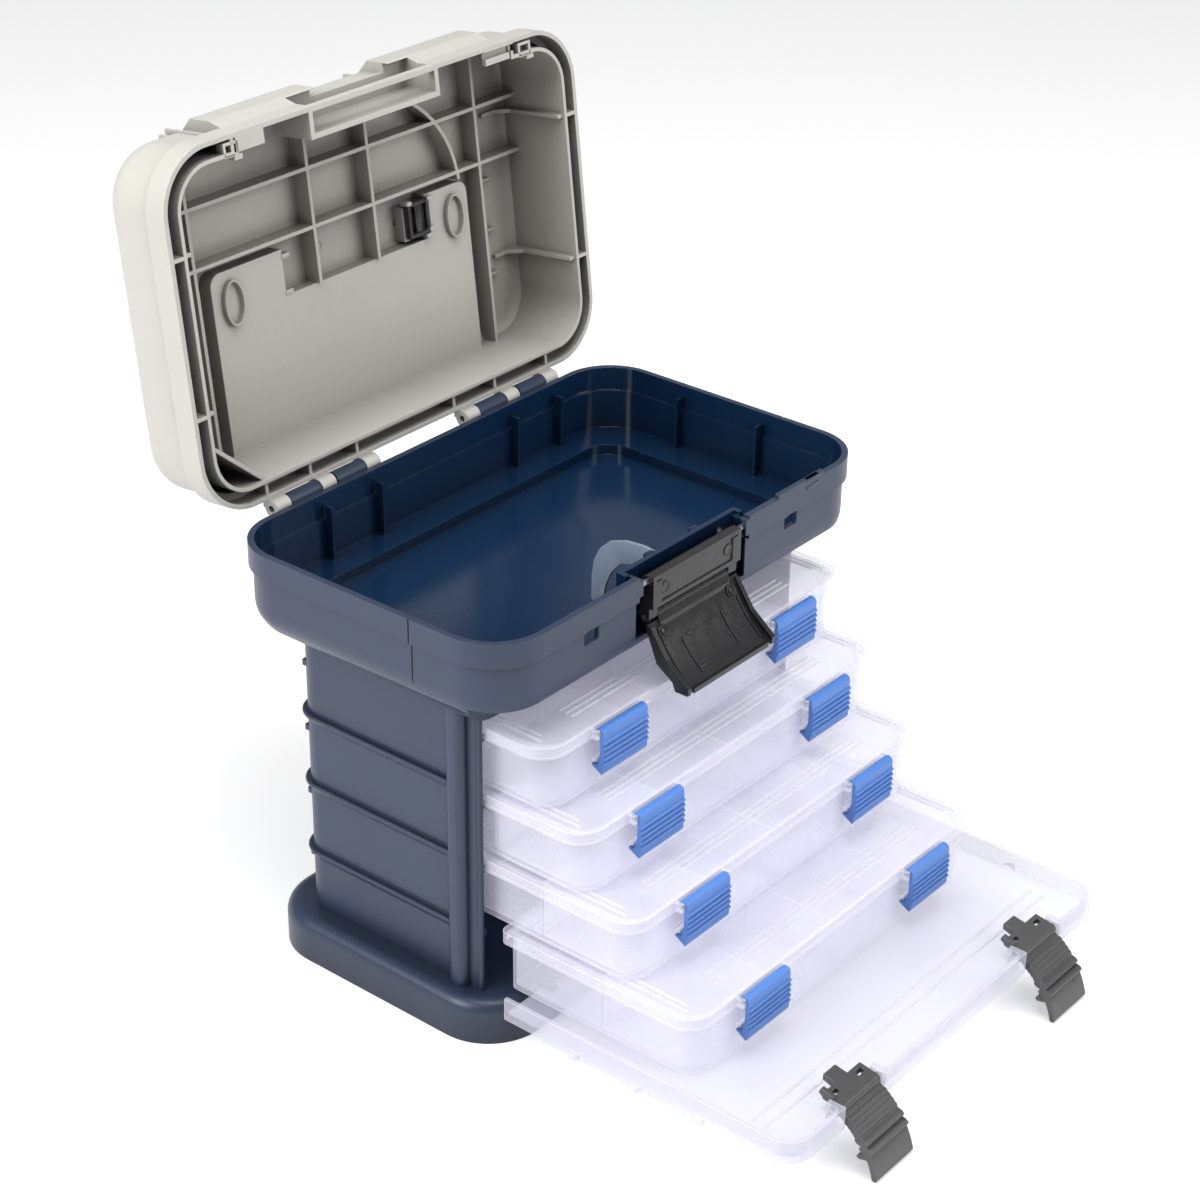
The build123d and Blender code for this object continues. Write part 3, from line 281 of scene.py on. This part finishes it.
@dataclass(frozen=True)
class Tub:
    """The inside of the top bin, polished in the mould and painted darker as the shade inside it: a space with rounded
    corners, in metres.
    """

    half_width: float = 0.13195
    half_depth: float = 0.0799
    corner: float = 0.0249
    floor: float = 0.1788

    def mask(self, shader: Shader) -> Wire:
        """One inside the space and zero elsewhere.

        Args:
            shader: The shader that gets the nodes.

        Returns:
            The mask.
        """
        point = shader.place()
        straight = (self.half_width - self.corner, self.half_depth - self.corner, 0.0)
        flat = shader.vector("ABSOLUTE", shader.vector("MULTIPLY", point, (1.0, 1.0, 0.0)))
        past = shader.vector("MAXIMUM", shader.vector("SUBTRACT", flat, straight))
        reach = shader.vector("LENGTH", past, output=1)
        height = shader.wire("ShaderNodeSeparateXYZ", {}, {0: point}, 2)
        return reach.below(self.corner) * height.above(self.floor)


@dataclass(frozen=True)
class MouldedPlastic:
    """Opaque injection-moulded plastic: spark-eroded grain, faint flow clouds, edges lightened as a painted highlight
    with some wear, and gaps and cavities darkened as painted shade.
    """

    name: str
    colour: Colour
    pale: Colour
    roughness: float = 0.42
    grain: float = 1400.0
    grain_height: float = 0.00006
    ripple: float = 0.00008
    cloud: float = 14.0
    edge: float = 0.0005
    edge_highlight_and_wear: float = 0.35
    gap: float = 0.03
    gap_shade_share: float = 0.6
    inside: Optional[Tub] = None
    inside_shade_colour: Colour = (0.0, 0.0, 0.0)
    inside_roughness: float = 0.2

    def material(self) -> bpy.types.Material:
        """Build the material."""
        shader = Shader(self.name)
        cloud = shader.noise(self.cloud, 3.0, 0.55)
        speckle = shader.noise(self.grain, 1.0)
        flow = shader.noise(130.0, 4.0, 0.6)
        edge = shader.edge_mask(self.edge)
        shade = shader.mix((cloud * 0.24 + speckle * 0.10).at_most(1.0), self.colour, self.pale)
        rough = cloud * 0.10 + speckle * 0.08 + (self.roughness - 0.09)
        if self.inside:
            within = self.inside.mask(shader)
            # Painted shade: the inside of the bin takes a darker colour; its lower roughness is the mould's polish.
            shade = shader.mix(within, shade, self.inside_shade_colour)
            rough = rough - within * (self.roughness - self.inside_roughness)
            edge = edge * (1.0 - within * 0.75)
        # Painted shade: the colour is darkened towards a twelfth of the base in gaps and cavities, where shade falls.
        shade = shader.mix(shader.shelter(self.gap) * self.gap_shade_share, shade, tuple(c * 0.12 for c in self.colour))
        # Painted highlight with some edge wear: sharp edges are lightened towards the pale colour.
        colour = shader.mix(edge * self.edge_highlight_and_wear, shade, self.pale)
        rounded = shader.soft_edges(self.edge)
        normal = shader.bump(speckle, self.grain_height, 0.5, shader.bump(flow, self.ripple, 0.6, rounded))
        surface = shader.wire("ShaderNodeBsdfPrincipled", {}, {
            "Base Color": colour, "Roughness": rough, "Normal": normal, "IOR": 1.48,
        })
        return shader.close(surface)


@dataclass(frozen=True)
class ClearPlastic:
    """Clear polypropylene: milky, see-through face on, denser along its walls, white at its edges as a painted
    highlight, and glowing faintly as painted light.
    """

    name: str
    colour: Colour
    thin: float
    thick: float
    edge: float = 0.5
    painted_glow_colour: Colour = (0.86, 0.86, 1.0)
    glow: float = 0.12
    roughness: float = 0.20
    cloud: float = 22.0

    def material(self) -> bpy.types.Material:
        """Build the material."""
        shader = Shader(self.name)
        cloud = shader.noise(self.cloud, 3.0, 0.6)
        grain = shader.noise(900.0, 1.0)
        facing = shader.wire("ShaderNodeLayerWeight", {}, {"Blend": 0.3}, "Facing")
        edge = shader.edge_mask(0.0009)
        alpha = (self.thin + facing * (self.thick - self.thin) + edge * self.edge + cloud * 0.06).at_most(1.0)
        milk = shader.mix(cloud * 0.4, self.colour, tuple(min(1.0, c * 1.05) for c in self.colour))
        # Painted highlight: edges are turned near white; the raised alpha there is the plastic's denser edge.
        colour = shader.mix(edge, milk, (0.97, 0.97, 0.98))
        normal = shader.bump(grain, 0.00003, 0.3, shader.soft_edges(0.0006))
        # Painted light: the emission makes the organisers glow faintly though they are no lamp.
        surface = shader.wire("ShaderNodeBsdfPrincipled", {}, {
            "Base Color": colour, "Roughness": cloud * 0.10 + (self.roughness - 0.05), "Alpha": alpha,
            "Normal": normal, "IOR": 1.49, "Emission Color": (*self.painted_glow_colour, 1.0), "Emission Strength": self.glow,
        })
        return shader.close(surface)


@dataclass(frozen=True)
class DrawnSteel:
    """Steel wire and screws: bright, with fine draw lines."""

    name: str = "drawn_steel"
    colour: Colour = (0.56, 0.56, 0.57)

    def material(self) -> bpy.types.Material:
        """Build the material."""
        shader = Shader(self.name)
        lines = shader.noise(2600.0, 1.0)
        surface = shader.wire("ShaderNodeBsdfPrincipled", {}, {
            "Base Color": shader.mix(lines * 0.3, self.colour, (0.75, 0.75, 0.76)),
            "Roughness": lines * 0.12 + 0.25, "Metallic": 1.0, "Normal": shader.bump(lines, 0.00002, 0.3),
        })
        return shader.close(surface)


@dataclass
class Finishes:
    """One finish for each material slot of the record."""

    recipes: dict[Slot, Any] = field(default_factory=lambda: {
        Slot.NAVY: MouldedPlastic(
            "navy_moulding", (0.019, 0.031, 0.068), (0.080, 0.110, 0.175), roughness=0.36, grain_height=0.00005,
            inside=Tub(), inside_shade_colour=(0.006, 0.025, 0.068), inside_roughness=0.13, gap=0.035, gap_shade_share=0.95,
        ),
        Slot.GREY: MouldedPlastic(
            "grey_moulding", (0.52, 0.50, 0.455), (0.78, 0.77, 0.73), roughness=0.44, edge_highlight_and_wear=0.5, ripple=0.0007,
            gap=0.045, gap_shade_share=0.85,
        ),
        Slot.BLACK: MouldedPlastic(
            "black_moulding", (0.002, 0.002, 0.003), (0.10, 0.10, 0.105), roughness=0.24, edge_highlight_and_wear=0.6, ripple=0.0004,
            gap=0.008,
        ),
        Slot.BLUE: MouldedPlastic(
            "blue_moulding", (0.075, 0.225, 0.67), (0.22, 0.38, 0.82), roughness=0.32, edge_highlight_and_wear=0.3,
        ),
        Slot.BOX: ClearPlastic("clear_organiser", (0.84, 0.84, 0.93), 0.13, 0.52),
        Slot.DOOR: ClearPlastic("clear_door", (0.72, 0.72, 0.84), 0.22, 0.55, edge=0.4, glow=0.0),
        Slot.STEEL: DrawnSteel(),
    })
    # Finish of the notch gusset: a much paler navy as painted glare, glossy from its low roughness.
    web: MouldedPlastic = MouldedPlastic(
        "web_painted_glare", (0.20, 0.25, 0.33), (0.34, 0.40, 0.48), roughness=0.16, gap_shade_share=0.2,
    )
    # Door latch finish: sharp edges are lightened strongly, a painted highlight with some wear.
    worn_and_highlit: MouldedPlastic = MouldedPlastic(
        "black_moulding_worn_and_highlit", (0.045, 0.045, 0.046), (0.26, 0.26, 0.265), roughness=0.30, edge_highlight_and_wear=0.7,
        ripple=0.0004, gap=0.006, gap_shade_share=0.8,
    )
    made: dict[str, bpy.types.Material] = field(default_factory=dict)

    def dress(self) -> None:
        """Put each slot's material on the nodes that use the slot."""
        slots = {part["node"]: part["material_slot"] for part in frame["record"]["subparts"]}
        self.made = {slot.value: recipe.material() for slot, recipe in self.recipes.items()}
        for finish in (self.web, self.worn_and_highlit):
            self.made[finish.name] = finish.material()
        for node, piece in frame["nodes"].items():
            piece.data.materials.clear()
            worn_and_highlit = node in ("door_latch_left", "door_latch_right")
            piece.data.materials.append(self.made[self.worn_and_highlit.name if worn_and_highlit else slots[node]])


class Bench:
    """The modelling bench: primitives shaped with operators, then given to the frame. Sizes are in millimetres."""

    def __init__(self, finishes: Finishes) -> None:
        """Keep the finishes that the pieces are dressed with."""
        self.finishes = finishes

    def _settle(self, name: str) -> bpy.types.Object:
        """Name the newest primitive and put its place into its mesh."""
        piece = bpy.context.object
        piece.name = piece.data.name = name
        bpy.ops.object.transform_apply(location=True, rotation=True, scale=True)
        return piece

    def block(self, name: str, low: Point, high: Point) -> bpy.types.Object:
        """Add a block between two corners.

        Args:
            name: The piece's name.
            low: Its lowest corner.
            high: Its highest corner.

        Returns:
            The piece.
        """
        bpy.ops.object.select_all(action="DESELECT")
        middle = [(a + b) / 2 * MM for a, b in zip(low, high)]
        size = [(b - a) * MM for a, b in zip(low, high)]
        bpy.ops.mesh.primitive_cube_add(size=1.0, location=middle, scale=size)
        return self._settle(name)

    def disc(self, name: str, centre: Point, radius: float, depth: float, squash: float = 1.0,
             turn: Point = (0.0, 0.0, 0.0), sides: int = 32) -> bpy.types.Object:
        """Add a round or oval disc.

        Args:
            name: The piece's name.
            centre: Its middle.
            radius: Its radius along its second direction.
            depth: Its thickness along its own third direction.
            squash: Its first radius over its second.
            turn: Its rotation in radians.
            sides: How many sides it has.

        Returns:
            The piece.
        """
        bpy.ops.object.select_all(action="DESELECT")
        bpy.ops.mesh.primitive_cylinder_add(
            vertices=sides, radius=radius * MM, depth=depth * MM, location=[c * MM for c in centre], rotation=turn
        )
        bpy.context.object.scale = (squash, 1.0, 1.0)
        return self._settle(name)

    def sheet(self, name: str, outline: Sequence[tuple[float, float]], start: float, end: float) -> bpy.types.Object:
        """Draw an outline across X and pull it to a thickness.

        Args:
            name: The piece's name.
            outline: Its corners as Y and Z.
            start: Where it starts along X.
            end: Where it ends along X.

        Returns:
            The piece.
        """
        bpy.ops.object.select_all(action="DESELECT")
        bpy.ops.mesh.primitive_circle_add(vertices=len(outline), radius=MM, fill_type="NGON")
        piece = self._settle(name)
        for vertex, (y, z) in zip(piece.data.vertices, outline):
            vertex.co = (start * MM, y * MM, z * MM)
        with self.faces(piece, lambda centre, normal: True):
            bpy.ops.mesh.extrude_region_move(TRANSFORM_OT_translate={"value": ((end - start) * MM, 0.0, 0.0)})
            bpy.ops.mesh.select_all(action="SELECT")
            bpy.ops.mesh.normals_make_consistent(inside=False)
        return piece

    @contextmanager
    def faces(self, piece: bpy.types.Object, chosen: Callable[[Vector, Vector], bool]) -> Iterator[None]:
        """Edit a piece with some of its faces selected.

        Args:
            piece: The piece.
            chosen: Says by a face's middle, in millimetres, and its normal whether it is selected.

        Yields:
            Nothing, while the piece is in edit mode.
        """
        bpy.ops.object.select_all(action="DESELECT")
        piece.select_set(True)
        bpy.context.view_layer.objects.active = piece
        bpy.ops.object.mode_set(mode="EDIT")
        bpy.ops.mesh.select_mode(type="FACE")
        bpy.ops.mesh.select_all(action="DESELECT")
        mesh = bmesh.from_edit_mesh(piece.data)
        mesh.normal_update()
        for face in mesh.faces:
            face.select_set(chosen(face.calc_center_median() / MM, face.normal))
        bmesh.update_edit_mesh(piece.data)
        yield
        bpy.ops.object.mode_set(mode="OBJECT")

    def pocket(self, piece: bpy.types.Object, towards: Point, wall: float, depth: float) -> None:
        """Sink a pocket into the faces that look one way.

        Args:
            piece: The piece.
            towards: The way that the faces look.
            wall: How much of each face is left round the pocket.
            depth: How deep it is.
        """
        way = Vector(towards)
        with self.faces(piece, lambda centre, normal: normal.dot(way) > 0.9):
            bpy.ops.mesh.inset(thickness=wall * MM)
            bpy.ops.mesh.extrude_region_move(TRANSFORM_OT_translate={"value": -way * depth * MM})

    def place(self, piece: bpy.types.Object, matrix: Matrix) -> None:
        """Move a piece by a matrix, and put that into its mesh."""
        bpy.ops.object.select_all(action="DESELECT")
        piece.select_set(True)
        bpy.context.view_layer.objects.active = piece
        piece.matrix_world = matrix
        bpy.ops.object.transform_apply(location=True, rotation=True, scale=True)

    def give(self, piece: bpy.types.Object, body: str, slot: Slot, soft: float = 0.3, finish: str = "") -> None:
        """Round a piece's edges, dress it and let it ride on a body.

        Args:
            piece: The piece.
            body: The body that carries it.
            slot: The slot that its finish comes from.
            soft: The radius of its edges.
            finish: The name of its finish, if it isn't the slot's own.
        """
        bpy.ops.object.select_all(action="DESELECT")
        piece.select_set(True)
        bpy.context.view_layer.objects.active = piece
        bevel = piece.modifiers.new("soft_edges", "BEVEL")
        bevel.width, bevel.segments, bevel.limit_method = soft * MM, 2, "ANGLE"
        bpy.ops.object.modifier_apply(modifier=bevel.name)
        bpy.ops.object.shade_smooth_by_angle(angle=radians(35))
        piece.data.materials.clear()
        piece.data.materials.append(self.finishes.made[finish or slot.value])
        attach(piece, body)
        log.info("%s rides on %s", piece.name, body)


@dataclass
class LidInside:
    """What the underside of the lid carries, drawn with the lid shut and then turned open with it."""

    bench: Bench
    body: str = "lid"
    hinge: Point = (0.0, 87.5, 216.5)
    open_angle: float = 96.6
    panel: float = 251.5
    ceiling: float = 259.5
    seat: float = 217.3
    finger_x: float = 75.0
    finger_radius: float = 11.0
    finger_squash: float = 0.55
    tick_places: tuple[float, ...] = (-8.0, 18.0, 41.0)
    tick_x: tuple[float, float] = (97.5, 110.0)
    socket_places: tuple[float, float] = (-93.0, 101.2)
    clip_places: tuple[float, ...] = (-11.0, 6.5)
    foot: Point = (50.0, -4.0, 252.7)
    foot_clips: tuple[tuple[float, float], ...] = ((-7.0, -9.6), (7.4, -9.0), (7.4, 6.5), (5.0, 9.4))

    def _give(self, piece: bpy.types.Object, slot: Slot = Slot.GREY, soft: float = 0.3) -> None:
        """Turn a piece open with the lid and give it to the lid."""
        axis = Matrix.Translation(Vector(self.hinge) * MM)
        swing = axis @ Matrix.Rotation(radians(-self.open_angle), 4, "X") @ axis.inverted()
        self.bench.place(piece, swing)
        self.bench.give(piece, self.body, slot, soft)

    def finger_slots(self) -> None:
        """Two oval dishes at the front corners of the panel."""
        for side, name in ((-1, "left"), (1, "right")):
            centre = (side * self.finger_x, 1.0, self.panel - 1.1)
            slot = self.bench.disc(f"finger_slot_{name}", centre, self.finger_radius, 3.2, self.finger_squash)
            self.bench.pocket(slot, (0, 0, -1), 0.9, 2.9)
            self._give(slot, soft=0.3)

    def ticks(self) -> None:
        """Short ridges on the ceiling, right of the right rail."""
        for number, y in enumerate(self.tick_places, start=1):
            low = (self.tick_x[0], y - 0.7, self.ceiling - 3)
            high = (self.tick_x[1], y + 0.7, self.ceiling + 1)
            tick = self.bench.block(f"ceiling_tick_{number}", low, high)
            self._give(tick)

    def sockets(self) -> None:
        """Sockets at the two front corners of the rim, each with a ledge beside it."""
        for x, name in zip(self.socket_places, ("left", "right")):
            low, high = (x - 4.5, -82.6, self.seat), (x + 4.5, -75.6, self.seat + 5)
            socket = self.bench.block(f"rim_socket_{name}", low, high)
            self.bench.pocket(socket, (0, 0, -1), 1.5, 4.0)
            self._give(socket)
            low, high = (x + 1.5, -76.2, self.seat + 0.2), (x + 6.5, -73.6, self.seat + 7)
            hook = self.bench.block(f"rim_hook_{name}", low, high)
            self._give(hook)

    def marks(self) -> None:
        """A round ejector mark in the middle cell, and the clips at the left end of the recess."""
        mark = self.bench.disc("ejector_mark", (-10.0, -6.0, self.ceiling), 2.6, 0.8)
        self.bench.pocket(mark, (0, 0, -1), 0.6, 0.3)
        self._give(mark, soft=0.12)
        for number, y in enumerate(self.clip_places, start=1):
            low, high = (-41.5, y - 1.2, self.panel - 0.4), (-36.5, y + 1.2, self.panel + 3)
            clip = self.bench.block(f"recess_clip_{number}", low, high)
            self._give(clip)

    def handle_foot(self) -> None:
        """The black foot of the handle in its opening, with the four clips that hold it."""
        x, y, z = self.foot
        foot = self.bench.block("handle_foot_cap", (x - 7.5, y - 9.5, z - 3.2), (x + 7.5, y + 8.5, z + 1))
        self.bench.pocket(foot, (0, 0, -1), 2.2, 2.4)
        self._give(foot, Slot.BLACK, 0.5)
        bar = self.bench.block("handle_foot_bar", (x - 2.2, y - 8.5, z - 2.6), (x + 2.2, y + 7.5, z + 1))
        self._give(bar, Slot.BLACK, 0.5)
        for number, (dx, dy) in enumerate(self.foot_clips, start=1):
            low, high = (x + dx - 1.6, y + dy - 1.0, z - 4.2), (x + dx + 1.6, y + dy + 1.0, z + 1)
            clip = self.bench.block(f"foot_clip_{number}", low, high)
            self._give(clip)

    def build(self) -> None:
        """Make every piece."""
        self.finger_slots()
        self.ticks()
        self.sockets()
        self.marks()
        self.handle_foot()


@dataclass
class BinTrim:
    """Small forms of the top bin round its latch and rim."""

    bench: Bench
    body: str = "case"
    rim: float = 217.0
    gusset_x: float = -16.0
    lug_places: tuple[float, ...] = (-20.0, 12.0)
    hook_x: tuple[float, float] = (82.0, 92.0)

    def gusset(self) -> None:
        """The arched web that braces the back wall of the latch notch."""
        outer = [(-71.8, 215.6), (-64.0, 216.4), (-54.0, 215.6), (-45.0, 212.6), (-39.0, 207.0), (-35.4, 199.6),
                 (-34.4, 191.0), (-34.2, 178.8)]
        inner = [(-41.0, 178.8), (-42.6, 189.0), (-46.0, 197.0), (-51.4, 203.0), (-58.0, 205.0), (-63.0, 202.0),
                 (-67.6, 194.0), (-71.8, 186.0)]
        web = self.bench.sheet("notch_gusset", outer + inner, self.gusset_x - 0.8, self.gusset_x + 0.8)
        # The gusset takes the finish with the painted glare.
        self.bench.give(web, self.body, Slot.NAVY, finish=self.bench.finishes.web.name)

    def lugs(self) -> None:
        """Two lugs behind the top edge of the notch."""
        for number, x in enumerate(self.lug_places, start=1):
            low, high = (x - 3, -71.8, self.rim - 3.2), (x + 3, -68.6, self.rim - 0.1)
            lug = self.bench.block(f"notch_lug_{number}", low, high)
            self.bench.give(lug, self.body, Slot.NAVY, 0.9)

    def rim_hook(self) -> None:
        """The hook at the end of the rim's tab."""
        outline = [(-83.3, 213.0), (-80.6, 213.0), (-80.6, 218.8), (-83.3, 218.8), (-83.3, 217.4), (-82.2, 217.2),
                   (-82.2, 215.4), (-83.3, 215.2)]
        hook = self.bench.sheet("rim_hook_plate", outline, *self.hook_x)
        self.bench.give(hook, self.body, Slot.NAVY)

    def build(self) -> None:
        """Make every piece."""
        self.gusset()
        self.lugs()
        self.rim_hook()


@dataclass
class MainLatch:
    """Ejector rings and frame lines on the inner faces of the link and the lever."""

    bench: Bench
    middle_x: float = -2.5
    top: tuple[float, float] = (-81.4, 189.3)
    foot: tuple[float, float] = (-103.0, 163.2)
    sag: float = 2.48
    half_thickness: float = 1.1
    lever_ring_x: float = 25.0
    link_ring_x: float = 23.0

    def _lay(self, piece: bpy.types.Object) -> None:
        """Lay a piece, drawn flat as across, down and out, on the bowed face of the lever."""
        start, end = Vector((0.0, *self.top)), Vector((0.0, *self.foot))
        down = (end - start).normalized()
        out = Vector((0.0, down.z, -down.y))
        length = (end - start).length
        for vertex in piece.data.vertices:
            across, along, proud = vertex.co / MM
            share = along / length
            lift = proud + self.half_thickness - self.sag * 4 * share * (1 - share)
            spot = start + down * along + out * lift
            vertex.co = Vector((self.middle_x + across, spot.y, spot.z)) * MM
        with self.bench.faces(piece, lambda centre, normal: True):
            bpy.ops.mesh.normals_make_consistent(inside=False)

    def rings(self) -> None:
        """Raised rings at the top corners of the lever, and fainter ones on the link."""
        for side, name in ((-1, "left"), (1, "right")):
            ring = self.bench.disc(f"lever_ring_{name}", (side * self.lever_ring_x, 5.5, 0.1), 3.2, 1.2, sides=28)
            self.bench.pocket(ring, (0, 0, 1), 0.7, 0.6)
            with self.bench.faces(ring, lambda centre, normal: normal.z > 0.9 and abs(centre.z - 0.1) < 0.3):
                bpy.ops.mesh.inset(thickness=0.9 * MM)
                bpy.ops.mesh.extrude_region_move(TRANSFORM_OT_translate={"value": (0.0, 0.0, 0.9 * MM)})
            self._lay(ring)
            self.bench.give(ring, "latch_lever", Slot.BLACK, 0.12)
            spot = (self.middle_x + side * self.link_ring_x, -83.8, 206.5)
            faint = self.bench.disc(f"link_ring_{name}", spot, 3.0, 0.6, turn=(radians(90), 0.0, 0.0), sides=28)
            self.bench.pocket(faint, (0, -1, 0), 0.5, 0.25)
            self.bench.give(faint, "latch_link", Slot.BLACK, 0.1)

    def lines(self) -> None:
        """The frame lines pressed into the lever, as thin ridges."""
        ridges = {
            "left": ((-16.0, 12.0), (-14.9, 30.0)), "right": ((13.6, 11.0), (14.6, 27.0)),
            "across": ((-12.0, 11.6), (11.0, 12.3)), "low": ((-14.9, 27.6), (13.6, 28.3)),
            "edge_left": ((-27.6, 3.0), (-27.0, 31.0)), "edge_right": ((27.0, 3.0), (27.6, 31.0)),
        }
        for name, ((left, high), (right, low)) in ridges.items():
            ridge = self.bench.block(f"lever_line_{name}", (left, high, -0.3), (right, low, 0.55))
            with self.bench.faces(ridge, lambda centre, normal: True):
                bpy.ops.mesh.subdivide(number_cuts=5)
            self._lay(ridge)
            self.bench.give(ridge, "latch_lever", Slot.BLACK, 0.12)

    def build(self) -> None:
        """Make every piece."""
        self.rings()
        self.lines()


@dataclass
class DoorCatches:
    """The nub behind each door latch, which holds it folded, and the arm beside its barrel."""

    bench: Bench
    spread: float = 73.0
    nub: tuple[tuple[float, float], ...] = (
        (-247.6, 12.6), (-243.0, 11.4), (-241.6, 9.2), (-243.2, 8.2), (-248.6, 9.6),
    )
    arm: tuple[tuple[float, float], ...] = (
        (-228.6, 33.6), (-221.6, 35.4), (-220.6, 33.0), (-223.0, 31.4), (-228.6, 30.4),
    )

    def build(self) -> None:
        """Make every piece."""
        worn_and_highlit = self.bench.finishes.worn_and_highlit.name
        for side, name in ((-1, "left"), (1, "right")):
            x = side * self.spread
            nub = self.bench.sheet(f"catch_nub_{name}", self.nub, x - 13.6, x - 10.4)
            self.bench.give(nub, f"door_latch_{name}", Slot.BLACK, 0.4, worn_and_highlit)
            arm = self.bench.sheet(f"catch_arm_{name}", self.arm, x - 13.8, x - 11.0)
            self.bench.give(arm, f"door_latch_{name}", Slot.BLACK, 0.4, worn_and_highlit)


@dataclass(frozen=True)
class Camera:
    """The camera of the photograph, turned about a point above the base."""

    azimuth: float = -50.92
    elevation: float = 28.60
    roll: float = 0.74
    distance: float = 1312.47
    aim_height: float = 100.0
    aside: float = 20.87
    up: float = 52.12
    lens: float = 81.29

    def place(self) -> None:
        """Make the camera and hand it to the scene."""
        turn, rise, tilt = radians(self.azimuth), radians(self.elevation), radians(self.roll)
        back = Vector((sin(turn) * cos(rise), -cos(turn) * cos(rise), sin(rise)))
        level = Vector((cos(turn), sin(turn), 0.0))
        plumb = back.cross(level)
        right = cos(tilt) * level + sin(tilt) * plumb
        up = cos(tilt) * plumb - sin(tilt) * level
        spot = Vector((0.0, 0.0, self.aim_height)) + self.aside * right + self.up * up + self.distance * back
        data = bpy.data.cameras.new("photo_camera")
        data.lens, data.sensor_width = self.lens, 36.0
        data.clip_start, data.clip_end = 0.05, 30.0
        camera = bpy.data.objects.new("photo_camera", data)
        camera.matrix_world = Matrix((
            (right.x, up.x, back.x, spot.x * MM), (right.y, up.y, back.y, spot.y * MM),
            (right.z, up.z, back.z, spot.z * MM), (0.0, 0.0, 0.0, 1.0),
        ))
        bpy.context.scene.collection.objects.link(camera)
        bpy.context.scene.camera = camera


@dataclass(frozen=True)
class StudioSet:
    """White sweep, a soft room and three soft lamps."""

    floor_colour: Colour = (0.84, 0.84, 0.85)
    floor_glow: float = 0.33
    room: float = 0.34
    key: float = 22.0
    fill: float = 15.5
    top: float = 19.0
    see_through: int = 40

    def floor(self) -> None:
        """A white floor that keeps the object's shadow."""
        bpy.ops.mesh.primitive_plane_add(size=14.0, location=(0.0, 0.0, 0.0))
        floor = bpy.context.object
        floor.name = Studio.FLOOR.value
        shader = Shader("studio_white")
        paint = shader.wire("ShaderNodeBsdfDiffuse", {}, {"Color": (*self.floor_colour, 1.0)})
        path = shader.node("ShaderNodeLightPath", {}, {})
        seen = (
            Wire(shader, path.outputs["Is Camera Ray"]) + Wire(shader, path.outputs["Is Glossy Ray"])
            + Wire(shader, path.outputs["Is Transmission Ray"])
        ).at_most(1.0)
        glow = shader.wire("ShaderNodeEmission", {}, {"Color": (1, 1, 1, 1), "Strength": seen * self.floor_glow})
        floor.data.materials.append(shader.close(shader.wire("ShaderNodeAddShader", {}, {0: paint, 1: glow})))

    def world(self) -> None:
        """A grey room for light, white where the camera sees it."""
        world = bpy.data.worlds.new("studio_room")
        world.use_nodes = True
        tree = world.node_tree
        tree.nodes.clear()
        path = tree.nodes.new("ShaderNodeLightPath")
        clear = tree.nodes.new("ShaderNodeMath")
        clear.operation = "MAXIMUM"
        tree.links.new(path.outputs["Is Camera Ray"], clear.inputs[0])
        tree.links.new(path.outputs["Is Transmission Ray"], clear.inputs[1])
        strength = tree.nodes.new("ShaderNodeMapRange")
        strength.inputs["To Min"].default_value = self.room
        strength.inputs["To Max"].default_value = 1.0
        tree.links.new(clear.outputs[0], strength.inputs["Value"])
        light = tree.nodes.new("ShaderNodeBackground")
        tree.links.new(strength.outputs[0], light.inputs["Strength"])
        light.inputs["Color"].default_value = (1, 1, 1, 1)
        out = tree.nodes.new("ShaderNodeOutputWorld")
        tree.links.new(light.outputs[0], out.inputs["Surface"])
        bpy.context.scene.world = world

    def lamp(self, name: str, place: Sequence[float], size: float, power: float) -> None:
        """Add a square lamp that looks at the middle of the object.

        Args:
            name: The lamp's name.
            place: Where it hangs, in metres.
            size: Its side in metres.
            power: Its power in watts.
        """
        data = bpy.data.lights.new(name, "AREA")
        data.size, data.energy = size, power
        lamp = bpy.data.objects.new(name, data)
        lamp.location = place
        lamp.rotation_euler = (Vector((0.0, 0.0, 0.15)) - Vector(place)).to_track_quat("-Z", "Y").to_euler()
        bpy.context.scene.collection.objects.link(lamp)

    def build(self) -> None:
        """Set the studio up."""
        self.floor()
        self.world()
        self.lamp(Studio.KEY.value, (-1.5, 0.45, 1.15), 0.9, self.key)
        self.lamp(Studio.FILL.value, (0.7, -1.6, 1.2), 1.2, self.fill)
        self.lamp(Studio.TOP.value, (-0.2, -0.3, 1.9), 1.1, self.top)
        bpy.context.scene.cycles.transparent_max_bounces = self.see_through
        bpy.context.scene.view_settings.view_transform = "Standard"


def main() -> None:
    """Build the studio, the camera and the object's own forms, and report each piece."""
    logging.basicConfig(level=logging.INFO, format="%(name)s: %(message)s")
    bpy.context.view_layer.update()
    Camera().place()
    StudioSet().build()
    finishes = Finishes()
    finishes.dress()
    bench = Bench(finishes)
    for assembly in (LidInside(bench), BinTrim(bench), MainLatch(bench), DoorCatches(bench)):
        assembly.build()
        log.info("%s is done", type(assembly).__name__)


if __name__ == "__main__":
    main()
